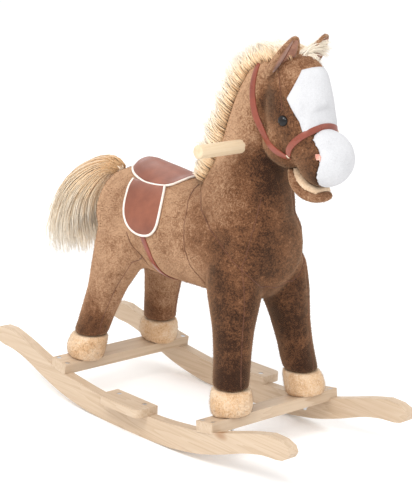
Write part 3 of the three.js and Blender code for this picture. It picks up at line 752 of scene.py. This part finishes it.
def make_base():
    for side, _ in SIDES:
        softened(side + "_rocker", 2.6, "pine_y")
        softened(side + "_footrest", 1.6, "pine_y")
    for end, _ in ENDS:
        softened(end + "_crossbar", 1.6, "pine_x")


def turned(name, profile, place, axis, material, sides=32):
    """A turned form: profile is (distance along the axis, radius) in millimetres from place."""
    axis, start = Vector(axis).normalized(), Vector(place)
    side = axis.orthogonal().normalized()
    up = axis.cross(side)
    rings = [[start + axis * step * MM + (side * c + up * s) * radius * MM for c, s in circle(sides)]
             for step, radius in profile]
    piece = new_object(name, *loft(rings), material)
    piece.data.set_sharp_from_angle(angle=math.radians(40))
    return piece


HANDLE_EDGE = 3.2      # rounding of the handle's ends


def make_handle():
    low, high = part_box("handle_dowel")
    middle, radius = (low + high) / 2, (high.z - low.z) / 2 / MM
    length = (high.x - low.x) / MM
    rise = [(HANDLE_EDGE * (1 - math.cos(a)), radius - HANDLE_EDGE * (1 - math.sin(a)))
            for a in np.linspace(0.15, math.pi / 2, 6)]
    fall = [(length - t, r) for t, r in reversed(rise)]
    waist = [(length / 2 + t, radius) for t in (-50, 50)]
    profile = rise + waist + fall
    piece = turned("grab_handle", profile, (low.x, middle.y, middle.z), (1, 0, 0), "dowel", 40)
    settle(piece, stands_for=["handle_dowel"])


def finish_fasteners():
    """Metal on the screws, bolts and nuts, and wood on the boards inside the cover."""
    for name, node in NODES.items():
        if "screw" in name or "bolt" in name or name.endswith("_nut"):
            look = "steel"
        elif name.endswith("_post") or name == "spine_board":
            look = "pine_x" if name == "spine_board" else "pine_y"
        else:
            continue
        node.data.materials.clear()
        node.data.materials.append(M[look])


# ---- hooves, muzzle, jaw, ears ---------------------------------------------------------------
def cushion(name, node, look, voxel, smoothing, shade, swelling=None, extra=()):
    """A stuffed form that stands for one CAD node. swelling is (cap, pressure) and shade is
    (middle, range, bump size, seed)."""
    piece = joined_nodes(name, [node], look, extra)
    remeshed(piece, voxel, smoothing)
    floor_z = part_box(node)[0].z
    is_hoof = node.endswith("hoof")
    if swelling:
        cap, pressure = swelling
        flat = points_of(piece.data)[:, 2] < floor_z + 0.006
        stuffed(piece, cap, flat.astype(float) if is_hoof else None, pressure)
    points = points_of(piece.data)
    if is_hoof:
        points[:, 2] = np.maximum(points[:, 2], floor_z + 0.0006)
        set_points(piece.data, points)
    middle, reach, size, seed = shade
    paint(piece.data, "shade", middle + reach * random_field(points, size, seed))
    settle(piece, stands_for=[node])
    return piece


def make_hooves():
    hooves = []
    for end, _ in ENDS:
        for side, _ in SIDES:
            node = f"{end}_{side}_hoof"
            low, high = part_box(node)
            middle = (low + high) / 2
            core = tube([(middle.x, middle.y, z) for z in (low.z + 0.002, high.z - 0.002)], 0.022, 10)
            hooves.append(cushion(f"{end}_{side}_cuff", node, "tan", 3.2, 5, (0.55, 0.3, 22, 9),
                                  (2.0, 3.0), [core]))
    return hooves


def cuff_tone(points):
    return 0.58 + 0.42 * random_field(points, 24, 9) + 0.15 * random_field(points, 7, 10)


def jaw_tone(points):
    return 0.52 + 0.22 * random_field(points, 18, 12)


def back_flow(points, normals):
    return laid(np.array((0.0, 0.5, -0.8)) + 0.4 * draw.normal(0, 1, (len(points), 3)), normals)


def down_flow(points, normals):
    sway = [0.7 * random_field(points, 18, seed) for seed in (12, 13)]
    return laid(np.column_stack([*sway, np.full(len(points), -1.0)]), normals)


# ---- tack -----------------------------------------------------------------------------------
STRAP_EDGE = 0.6


def band(name, route, width, thickness, surface, node, lift=0.4, evening=14):
    """A flat leather strap with rounded edges that follows a body's skin along a route of (x, Y, Z)."""
    spots, ups = map(np.array, zip(*(surface.nearest(p) for p in along(route, 90) * MM)))
    for _ in range(evening):
        for row in (spots, ups):
            row[1:-1] = (row[:-2] + row[1:-1] * 2 + row[2:]) / 4
    ups = unit(ups)
    sides = np.cross(ups, unit(np.gradient(spots, axis=0)))
    half, low, high, edge = width / 2, lift, lift + thickness, STRAP_EDGE
    bevel = edge * 0.3
    section = [(-half, low + edge), (-half + bevel, high - bevel), (-half + edge, high), (0, high + 0.25),
               (half - edge, high), (half - bevel, high - bevel), (half, low + edge), (half - edge, low),
               (-half + edge, low)]
    rings, n = [], len(spots)
    for i in range(n):
        near_end = min(1, min(i, n - 1 - i) / 3)
        narrow = math.sqrt(max(0.12, 1 - (1 - near_end) ** 2))
        rings.append([spots[i] + (sides[i] * across * narrow + ups[i] * height) * MM
                      for across, height in section])
    piece = new_object(name, *loft(rings, flip=True), "strap")
    piece.data.set_sharp_from_angle(angle=math.radians(50))
    return settle(piece, stands_for=[node])


def both_sides(half):
    """A route from right to left over the middle, made from one half given as (|x|, Y, Z)."""
    return [(-x, y, z) for x, y, z in half] + [point for point in reversed(half) if point[0] > 0]


CROWN_ROUTE = ((46, -232, 473), (47, -227, 477), (47, -212, 488), (48, -191, 503), (49, -169, 530),
               (48, -157, 566), (44, -153, 594), (34, -150, 612), (18, -148, 624), (0, -147, 628))
NOSE_ROUTE = ((46, -231, 479), (47, -233, 488), (46, -238, 497), (44, -246, 507), (38, -258, 519),
              (26, -266, 526), (12, -268, 530), (0, -269, 531))
GIRTH_ROUTE = ((86, 42, 316), (84, 38, 304), (82, 30, 288), (73, 28, 266), (60, 27, 250), (40, 27, 238),
               (0, 27, 230))
# Where the bridle's rivet sits, as (|x|, Y, Z), and the rivet's turned form.
RIVET = (47, -230, 477)
RIVET_FORM = ((1.6, 4.2), (3.2, 4.2), (3.9, 3.4), (4.3, 2.0), (4.4, 0.6))


def make_seam_threads(skin):
    """The sunken stitched lines along the seams."""
    parts = [tube([skin.lifted(p, 0.15) for p in along(line, 60)], 0.55 * MM, 6) for line in seam_lines()]
    settle(new_object("seam_stitches", *gathered(parts), "thread"))


def make_straps(skin, head_skin):
    straps = [band("bridle_crown", both_sides(CROWN_ROUTE), 10, 2.2, head_skin, "crown_strap"),
              band("bridle_noseband", both_sides(NOSE_ROUTE), 10, 2.2, head_skin, "noseband", lift=1.6,
                   evening=60),
              band("saddle_girth", both_sides(GIRTH_ROUTE), 11, 1.8, skin, "girth_strap")]
    for side_name, side in SIDES:
        near, normal = head_skin.nearest(np.array(RIVET) * (side, 1, 1) * MM)
        rivet = turned(side_name + "_strap_rivet", RIVET_FORM, near, normal, "brass", 24)
        settle(rivet, stands_for=[side_name + "_rivet"])
    return straps


# The white blaze on the forehead: (degrees round from straight ahead, Z), from under the noseband up.
BLAZE_EDGE = ((35, 522), (40, 538), (50, 552), (63, 570), (56, 582), (47, 598), (38, 612))
HEAD_AXIS_Y, BLAZE_GRID = -205, 44


def make_blaze(skin):
    """A patch of short white pile let into the forehead, a shell a little proud of the brown cover."""
    turns, heights = zip(*BLAZE_EDGE)
    outer, inner = [], []
    for i in range(BLAZE_GRID + 1):
        share = i / BLAZE_GRID
        z = heights[0] + (heights[-1] - heights[0]) * share
        widest = math.radians(np.interp(z, heights, turns))
        for c in np.arange(BLAZE_GRID + 1) * 2 / BLAZE_GRID - 1:
            way = np.array((math.sin(c * widest), -math.cos(c * widest), 0))
            axis = np.array((0, HEAD_AXIS_Y, z + 4.0 * (1 - c * c) * share ** 6)) * MM
            spot, up = skin.hit(axis + way * 0.2, -way)
            rim = min(1, (1 - abs(c)) * 9, (BLAZE_GRID - i) / 3, i / 3 + 0.3)
            outer.append(spot + up * (0.3 + 1.5 * math.sqrt(rim)) * MM)
            inner.append(spot - up * 1.2 * MM)
    piece = new_object("forehead_blaze", *shell(outer, inner, BLAZE_GRID + 1), "white")
    paint(piece.data, "shade", 0.6 + 0.25 * random_field(points_of(piece.data), 26, 31))
    return settle(piece)


def make_nostrils(head_skin):
    """Satin-stitched nostrils on the edge of the white muzzle."""
    for side_name, side in SIDES:
        parts = []
        for t in np.linspace(-0.5, 0.5, 9):
            reach = 3.6 * math.sqrt(max(0.05, 1 - (2 * t) ** 2))
            start = np.array((side * 40, -293 + 2.0 * t, 492.4 + 11 * t))
            line = [head_skin.lifted((start + (0, u * reach, 0)) * MM, 0.2 + 1.1 * math.sqrt(max(0, 1 - u * u)))
                    for u in np.linspace(-1, 1, 7)]
            parts.append(tube(line, 0.8 * MM, 6))
        settle(new_object(side_name + "_nostril_stitches", *gathered(parts), "pink"))


# The seat's edge seen from above, from behind round one side to the front: (|x|, Y).
SEAT_EDGE = ((0, 154), (13, 150), (24, 139), (34, 123), (41, 106), (46, 86), (47.5, 66), (46.5, 46), (43, 31),
             (35, 20), (20, 15), (0, 14))
SEAT_MIDDLE, SEAT_RINGS, SEAT_AROUND, SEAT_PAD = 80, 15, 72, 2.8
PIPING = 2.1 * MM
# Height of the seat's ridge along the middle: Y, Z.
SEAT_RIDGE = ((14, 40, 70, 95, 115, 130, 142, 154), (402, 406, 410.5, 414, 416.5, 417, 414.5, 407))


def seat_outline(count, grow=0.0):
    """The edge of the saddle's seat seen from above, in millimetres: tapered behind and blunt in front."""
    half = along(SEAT_EDGE, count // 2 + 1, -1)
    line = np.vstack([half, half[-2:0:-1] * (-1, 1)])
    return line + unit(line - (0, SEAT_MIDDLE)) * grow


def on_top(skin, x, y):
    """The point and normal of the body straight below (x, Y), in millimetres."""
    return skin.hit((x * MM, y * MM, 0.6), (0, 0, -1))


def make_seat(skin):
    """A thin leatherette pad over the back, crowned in the middle, with corded piping round its edge."""
    outline = seat_outline(SEAT_AROUND)
    centre = np.array([0.0, SEAT_MIDDLE])
    top, under = [], []
    for share in np.arange(SEAT_RINGS + 1) / SEAT_RINGS:
        rings = [], []
        for x, y in centre + (outline - centre) * share:
            spot, up = on_top(skin, x, y)
            crown = (1 - share ** 9) * (1 - (x / 50) ** 2)
            lift = max(1.0, np.interp(y, *SEAT_RIDGE) - SEAT_PAD - on_top(skin, 0, y)[0][2] / MM)
            rings[0].append(spot + (up * SEAT_PAD + np.array((0, 0, lift * crown))) * MM)
            rings[1].append(spot + up * 0.9 * MM)
        top.append(rings[0])
        under.append(rings[1])
    piece = new_object("saddle_pad", *loft(top + under[::-1], flip=True), "saddle")
    work = bmesh.new()
    work.from_mesh(piece.data)
    bmesh.ops.remove_doubles(work, verts=work.verts, dist=0.00005)
    bmesh.ops.recalc_face_normals(work, faces=work.faces)
    work.to_mesh(piece.data)
    work.free()
    points = points_of(piece.data)
    rim = np.linalg.norm(points[:, None, :2] - outline[None] * MM, axis=2).min(1) < 0.004
    gap = np.array([np.linalg.norm(p - skin.nearest(p)[0]) for p in points])
    stuffed(piece, 3.0, np.maximum(rim, gap < 0.0016).astype(float))
    settle(piece, stands_for=["saddle_seat"])
    cord_line = [spot + up * 2.2 * MM for spot, up in (on_top(skin, x, y) for x, y in seat_outline(160, 0.6))]
    piping = new_object("saddle_pad_piping", *tube(cord_line, PIPING, 8, closed=True), "piping")
    return settle(piping)


# The flap's edge from the front of its sewn top, down and round to the back of it: (Y, Z).
FLAP_EDGE = ((33, 388), (22, 379), (12, 365), (6, 346), (8, 328), (20, 316), (40, 311), (60, 313), (76, 321),
             (87, 334), (94, 350), (100, 366), (107, 380), (110, 387))


TRUNK_AXIS, TRUNK_RADIUS = 315, 86
# Rows and columns of points over each flap.
FLAP_ROWS, FLAP_COLUMNS = 48, 21


def on_flank(skin, side, place, *heights):
    """Points over the body's surface at (Y, Z), found by looking out from the trunk's long axis."""
    y, z = place
    angle = math.asin(np.clip((z - TRUNK_AXIS) / TRUNK_RADIUS, -0.97, 0.97))
    way = np.array((side * math.cos(angle), 0, math.sin(angle)))
    spot, up = skin.hit(np.array((0, y, TRUNK_AXIS)) * MM + way * 0.25, -way)
    return [spot + up * height * MM for height in heights]


def make_flaps(skin):
    """Thin leatherette flaps that hang from under the seat, each with piping round its free edge."""
    made = []
    edge = along(FLAP_EDGE, 2 * FLAP_ROWS + 1)
    front, rear = edge[:FLAP_ROWS], edge[:FLAP_ROWS:-1]
    for side_name, side in SIDES:
        places = [a + (b - a) * share for a, b in zip(front, rear)
                  for share in np.linspace(0, 1, FLAP_COLUMNS)]
        outer, inner = zip(*(on_flank(skin, side, place, 3.6, 1.6) for place in places))
        body = side_name + "_flap"
        flap = new_object(body + "_sheet", *shell(outer, inner, FLAP_COLUMNS, flip=side > 0), "saddle")
        settle(flap, body, [side_name + "_saddle_flap"])
        cord_line = [on_flank(skin, side, place, 3.0)[0] for place in along(FLAP_EDGE, 90)]
        piping = new_object(body + "_piping", *tube(cord_line, PIPING), "piping")
        settle(piping, body)
        made += [flap, piping]
    return made


# ---- ears and eyes --------------------------------------------------------------------------
def ear_frame(side):
    """Origin at an ear's root, its long axis, its width axis and the way its hollow faces."""
    root = np.array((side * 28.0, -189.0, 600.0))
    tip = np.array((side * 33.0, -229.0, 660.0))
    length = np.linalg.norm(tip - root)
    up = (tip - root) / length
    face = np.array((side * 0.15, -0.9, -0.4))
    face -= up * face.dot(up)
    face /= np.linalg.norm(face)
    return root, up, np.cross(up, face), face, length


EAR_STATIONS, EAR_AROUND, EAR_LINING = 15, 28, 13


def make_ears():
    """A leaf-shaped stuffed ear, hollow in front, with a lining whose two halves meet in a deep fold, and a
    dark cord in that fold as painted shade.
    """
    ears, pads = [], []
    for side_name, side in SIDES:
        root, up, wide, face, length = ear_frame(side)
        rings, lining = [], []
        for t in np.arange(EAR_STATIONS + 1) / EAR_STATIONS:
            half = 24.0 * math.sin(math.pi * (0.37 + 0.59 * t)) ** 0.7
            deep = 10.0 * (1 - t) ** 0.6 + 3.6
            open_here = math.sin(math.pi * (0.06 + 0.88 * t)) ** 0.4
            middle = root + up * (length * t) + face * 6.0 * t * (1 - t)
            depths = [-s * deep if s >= 0 else
                      -s * deep * 0.6 - max(0.0, 1 - (abs(c) / 0.74) ** 2.5) * open_here * deep * 0.95
                      for c, s in circle(EAR_AROUND)]
            rings.append([middle + wide * half * c + face * depth
                          for (c, _), depth in zip(circle(EAR_AROUND), depths)])
            lining.append([middle + wide * half * 0.66 * c + face * (0.5 * abs(c) ** 0.8 - 0.34) * deep
                           for c in np.linspace(-1, 1, EAR_LINING)])
        ear = new_object(side_name + "_plush_ear", *loft(np.array(rings) * MM), "brown")
        remeshed(ear, 1.5, 2)
        paint(ear.data, "shade", 0.62 + 0.2 * random_field(points_of(ear.data), 14, 17))
        settle(ear, stands_for=[side_name + "_ear"])
        ears.append(ear)
        lining = np.array(lining) * MM
        patch = lining[1:-1]
        pad = new_object(side_name + "_ear_lining", patch.reshape(-1, 3), grid(len(patch), EAR_LINING),
                         "lining")
        modified(pad, "SOLIDIFY", thickness=1.6 * MM, offset=0)
        settle(pad)
        pads.append(pad)
        # A dark cord along the lining's fold: painted shade in the fold.
        fold_shade_line = lining[2:-3, EAR_LINING // 2] + face * 1.1 * MM
        settle(new_object(side_name + "_ear_fold_shade", *tube(fold_shade_line, 0.9 * MM, 6), "thread"))
    return ears, pads


EYE_RADIUS, EYE_DOME = 8.5, 5.6


def make_eyes(skin):
    dome = [(EYE_DOME * math.sin(a), EYE_RADIUS * math.cos(a)) for a in np.linspace(0.12, 1.5, 12)]
    eyes = []
    for side_name, side in SIDES:
        low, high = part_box(side_name + "_eye")
        near, normal = skin.nearest((side * 0.06, *((low + high) / 2)[1:]))
        eye = turned(side_name + "_glass_eye", [(-2.5, 8.2), (0.2, EYE_RADIUS), *dome],
                     near - normal * 0.4 * MM, normal, "eye", 40)
        eyes.append(settle(eye, stands_for=[side_name + "_eye"]))
    return eyes


# ---- long hair ------------------------------------------------------------------------------
def strands(name, paths, radius, shade, tip_from=0.0, body="horse"):
    """Long hair: closed three-sided threads that taper to their ends. paths is strands x points x 3."""
    count, steps, _ = paths.shape
    tangents = unit(np.gradient(paths, axis=1))
    side = unit(np.cross(tangents, np.array((0.31, 0.17, 0.93))))
    up = np.cross(tangents, side)
    t = np.linspace(0, 1, steps)
    taper = (0.55 + 0.45 * np.minimum(1, t / 0.2)) * (1 - t ** 2.2) + 0.04
    radii = radius * MM * taper[None, :, None] * draw.uniform(0.7, 1.25, (count, 1, 1))
    corners = [paths + (side * math.cos(a) + up * math.sin(a)) * radii for a in (0.5, 2.6, 4.7)]
    points = np.stack(corners, axis=2).reshape(-1, 3)
    a = np.arange(steps - 1)[:, None] * 3
    wall = []
    for k, n in ((0, 1), (1, 2), (2, 0)):
        wall += [np.hstack([a + k, a + n, a + n + 3]), np.hstack([a + k, a + n + 3, a + k + 3])]
    local = np.concatenate([*wall, np.array([(2, 1, 0)]), np.array([(0, 1, 2)]) + 3 * (steps - 1)])
    triangles = (local[None] + (np.arange(count) * steps * 3)[:, None, None]).reshape(-1, 3)
    piece = triangles_object(name, points, triangles, "hair")
    paint(piece.data, "tip", np.tile(np.repeat(tip_from + t * (1 - tip_from), 3), count))
    paint(piece.data, "shade", np.repeat(shade, steps * 3))
    return settle(piece, body)


def clumped(paths, locks, amount):
    """Draws each strand's end towards the nearest of a few locks."""
    ends = paths[:, -1]
    chosen = ends[draw.choice(len(ends), locks, replace=False)]
    nearest = np.linalg.norm(ends[:, None] - chosen[None], axis=2).argmin(1)
    share = (np.linspace(0, 1, paths.shape[1]) ** 1.5)[None, :, None] * amount
    return paths + (chosen[nearest] - ends)[:, None, :] * share


def curve(start, bend, end, t):
    """A point of a smooth bow from start to end that is drawn towards bend."""
    return start * (1 - t) ** 2 + bend * 2 * t * (1 - t) + end * t ** 2


# The mane along the neck's back: border beside the neck (|x|, Y, Z) and where the hair ends (|x|, Y, Z).
MANE_BORDER = ((16, -214, 612), (24, -186, 618), (30, -158, 610), (31, -136, 597), (34, -122, 576),
               (33, -104, 545),
               (35, -94, 511), (42, -92, 486), (48, -88, 460), (46, -72, 425), (34, -48, 402))
MANE_ENDS = ((10, -192, 645), (8, -156, 643), (6, -127, 638), (6, -97, 626), (6, -69, 608), (6, -53, 580),
             (6, -40, 553), (6, -26, 527), (6, -11, 494), (6, 0, 460), (6, 9, 412))


MANE_STRANDS, FORELOCK_STRANDS, TAIL_STRANDS = 2600, 420, 3200
MANE_STEPS, FORELOCK_STEPS, TAIL_STEPS = 7, 8, 10
TABLE_ROWS = 200


def mane_paths(skin):
    border, ends = along(MANE_BORDER, TABLE_ROWS), along(MANE_ENDS, TABLE_ROWS)
    paths = []
    for _ in range(MANE_STRANDS):
        s = draw.uniform(0.0, 0.97)
        side = draw.choice((-1, 1))
        depth = draw.random() ** 1.3
        i = int(s * (TABLE_ROWS - 1))
        root = border[i] * (side * (1 - depth), 1, 1) + np.array((0, 14, 4)) * depth
        near, normal = skin.nearest(root * MM)
        slip = min(TABLE_ROWS - 1, i + int(draw.uniform(2, 16)))
        end = ends[slip] * (side * draw.uniform(-0.5, 2.2), 1, 1) + draw.normal(0, 2.4, 3)
        away = (ends[i] - border[i]) * (0, 1, 1)
        reach = draw.uniform(0.72, 1.16)
        start = near / MM - normal
        bulge = start + normal * (9 + 6 * (1 - depth)) + away * 0.22
        end = start + (end - start) * reach
        curl = draw.normal(0, 1.3, 3)
        paths.append([curve(start, bulge, end, t) + curl * math.sin(t * 5.0 + s * 40) * t
                      for t in np.linspace(0, 1, MANE_STEPS)])
    return np.array(paths) * MM


def make_mane(skin):
    paths = clumped(mane_paths(skin), 200, 0.45)
    shade = 0.5 + 0.28 * random_field(paths[:, -1], 16, 21) + draw.normal(0, 0.08, len(paths))
    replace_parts(strands("mane_hair", paths, 0.95, shade), "mane")


def make_mane_core():
    """The dense inner hair of the mane."""
    core = joined_nodes("mane_underhair", ["mane"], "hair")
    remeshed(core, 3.2, 6)
    points, normals = points_of(core.data), normals_of(core.data)
    inward = 3.0 + 9.0 * np.clip((-0.185 - points[:, 1]) / 0.02, 0, 1)
    points = points - normals * inward[:, None] * MM
    points[:, 2] -= 0.010 * np.clip((-0.180 - points[:, 1]) / 0.02, 0, 1)
    points[:, 1] = np.maximum(points[:, 1], -0.205)
    set_points(core.data, points)
    ridges = np.column_stack([points[:, 0] * 0.3, points[:, 1], points[:, 2]])
    paint(core.data, "shade", 0.45 + 0.4 * random_field(ridges, 7, 41))
    paint(core.data, "tip", np.full(len(points), 0.55))
    settle(core)


def make_forelock():
    """Hair that falls forward between the ears and is brushed over the horse's left ear."""
    paths = []
    for i in range(FORELOCK_STRANDS):
        start = np.array((draw.uniform(-12, 20), draw.uniform(-220, -188), 618 + draw.uniform(-3, 4)))
        if i % 3:
            rise = np.array((14 + draw.normal(0, 5), -216.0, 648 + draw.normal(0, 4)))
            end = np.array((34 + draw.normal(0, 5), -232 + draw.normal(0, 3), 640 + draw.normal(0, 8)))
        else:
            rise = np.array((6 + draw.normal(0, 6), -222.0, 640 + draw.normal(0, 3)))
            end = np.array((9 + draw.normal(0, 6), -236 + draw.normal(0, 2), 613 + draw.normal(0, 5)))
        paths.append([curve(start, rise, end, t) for t in np.linspace(0, 1, FORELOCK_STEPS)])
    paths = clumped(np.array(paths) * MM, 40, 0.4)
    strands("forelock_hair", paths, 0.8, np.full(FORELOCK_STRANDS, 0.9), tip_from=0.3)


TAIL_LINE = ((0, 196, 380), (0, 224, 386), (0, 260, 368), (0, 294, 334), (0, 312, 288),
             (0, 314, 242), (0, 306, 200))
TAIL_FORM = ((10, 12), (22, 18), (36, 32), (46, 46), (50, 58), (48, 62), (44, 54))
TAIL_ROWS = 120


def outward_of(line):
    return np.cross(unit(np.gradient(line, axis=0)), (1, 0, 0))


def between(rows, at):
    i = int(at)
    share = at - i
    return rows[i] * (1 - share) + rows[min(len(rows) - 1, i + 1)] * share


def tail_paths():
    line, form = along(TAIL_LINE, TAIL_ROWS), along(TAIL_FORM, TAIL_ROWS)
    outward = outward_of(line)
    outward *= np.where(outward[:, 1:2] + outward[:, 2:3] * 0.6 < 0, -1, 1)
    paths = []
    for _ in range(TAIL_STRANDS):
        turn = draw.uniform(0, 2 * math.pi)
        ring = draw.random() ** 0.55
        first = draw.uniform(0.0, 0.22)
        last = min(1.0, 0.72 + draw.uniform(-0.20, 0.28))
        wild = draw.normal(0, 0.05)
        swirl = draw.normal(0, 1.6, 3)
        path = []
        for t in np.linspace(0, 1, TAIL_STEPS):
            at = (first + (last - first) * t) * (TAIL_ROWS - 1)
            middle, (wide, deep), away = (between(rows, at) for rows in (line, form, outward))
            spread = ring * (1 + wild * t * 3)
            across = np.array((math.cos(turn) * wide * spread, 0, 0))
            path.append(middle + across + away * math.sin(turn) * deep * spread
                        + swirl * math.sin(t * 4 + turn) * t)
        paths.append(path)
    return np.array(paths) * MM


def on_tail_root(piece):
    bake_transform(piece)


def make_tail_core():
    """The dense inner hair of the tail, which the long strands cover, with ridges that run with the hair."""
    line = along(TAIL_LINE, 40)[:34]
    form = along(TAIL_FORM, 40)[:34] * 0.74
    form[-6:] *= np.array((0.98, 0.93, 0.85, 0.72, 0.52, 0.2))[:, None]
    rings = [[middle + np.array((c * wide, 0, 0)) + away * s * deep for c, s in circle(24)]
             for middle, (wide, deep), away in zip(line, form, outward_of(line))]
    core = new_object("tail_underhair", *loft(np.array(rings) * MM), "hair")
    modified(core, "SUBSURF", levels=1, render_levels=1)
    points, normals = points_of(core.data), normals_of(core.data)
    ridges = points * (1, 0.25, 0.25)
    set_points(core.data, points + normals * (1.6 * MM * random_field(ridges, 7, 23))[:, None])
    paint(core.data, "shade", 0.5 + 0.4 * random_field(ridges, 9, 24))
    paint(core.data, "tip", np.full(len(points), 0.5))
    settle(core, None)
    on_tail_root(core)


def make_tail():
    paths = clumped(tail_paths(), 260, 0.4)
    shade = 0.42 + 0.25 * random_field(paths[:, -1], 18, 23) + draw.normal(0, 0.08, len(paths))
    tail = strands("tail_hair", paths, 1.0, shade, body=None)
    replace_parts(tail, "tail")
    on_tail_root(tail)


# ---- the horse ------------------------------------------------------------------------------
def make_floor():
    mesh = bpy.data.meshes.new("floor")
    mesh.from_pydata([(-30, -30, 0), (30, -30, 0), (30, 30, 0), (-30, 30, 0)], [], [(0, 1, 2, 3)])
    s = Shader("pale_floor", 0.9, Specular_IOR_Level=0.1, Emission_Color=(1, 1, 1, 1), Emission_Strength=0.10)
    tones = (0.3, (0.93, 0.93, 0.93, 1)), (0.7, (0.95, 0.95, 0.95, 1))
    mesh.materials.append(s.finish(s.ramp(s.noise(2, 2), *tones)))
    plane = bpy.data.objects.new("floor", mesh)
    plane.location.z = -0.0005
    scene.collection.objects.link(plane)


# Piles of the cover, from and to a height in metres.
COVER_PILES = (("leg_pile", 0.0, 0.262), ("trunk_pile", 0.262, 0.40), ("head_pile", 0.40, 1.0))


def make_piles(cover, hooves, jaw, ears, barriers, mouth, pads):
    skin, seams = Surface(cover), seam_lines()
    clear = [clear_of(Surface(piece)) for piece in barriers]
    for name, lowest, highest in COVER_PILES:
        tests = [lambda points: (points[:, 2] > lowest) & (points[:, 2] <= highest),
                 lambda points: line_distance(points, seams) > SEAM_CLEARANCE * MM, *clear]
        fibres(name, skin, 3.2, 2.4, tests)
    fibres("jaw_pile", Surface(jaw), 2.8, 2.2, [clear_of(Surface(piece)) for piece in mouth], jaw_tone,
           back_flow)
    for (side, _), ear in zip(SIDES, ears):
        fibres(side + "_ear_pile", Surface(ear), 3.0, 2.2, [clear_of(Surface(pad)) for pad in pads],
               flow=back_flow)
    for hoof in hooves:
        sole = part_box(hoof.name.replace("cuff", "hoof"))[0].z + 0.003
        fibres(hoof.name + "_pile", Surface(hoof), 2.8, 2.6, [lambda points: points[:, 2] > sole],
               cuff_tone, down_flow)


def make_horse():
    cover = make_cover()
    skin = Surface(cover)
    hooves = make_hooves()
    muzzle = cushion("white_muzzle", "muzzle", "white", 3.0, 8, (0.6, 0.25, 26, 14),
                     (1.5, 2.0))
    jaw = cushion("stuffed_jaw", "lower_jaw", "brown", 2.6, 5, (0.52, 0.22, 18, 12),
                  (1.5, 2.0))
    lining = cushion("mouth_pad", "mouth_lining", "mouth", 2.4, 4, (0.55, 0.3, 16, 15))
    head_skin = Surface(cover, muzzle)
    straps = make_straps(skin, head_skin)
    make_seam_threads(skin)
    blaze = make_blaze(skin)
    make_nostrils(head_skin)
    seat_piping = make_seat(skin)
    flaps = make_flaps(skin)
    ears, pads = make_ears()
    eyes = make_eyes(skin)
    make_mane(skin)
    make_mane_core()
    make_tail_core()
    make_tail()
    make_forelock()
    barriers = [*straps, seat_piping, *flaps, *eyes, blaze]
    make_piles(cover, hooves, jaw, ears, barriers, (lining, muzzle), pads)


make_camera()
make_lights()
make_floor()
make_base()
make_handle()
finish_fasteners()
make_horse()
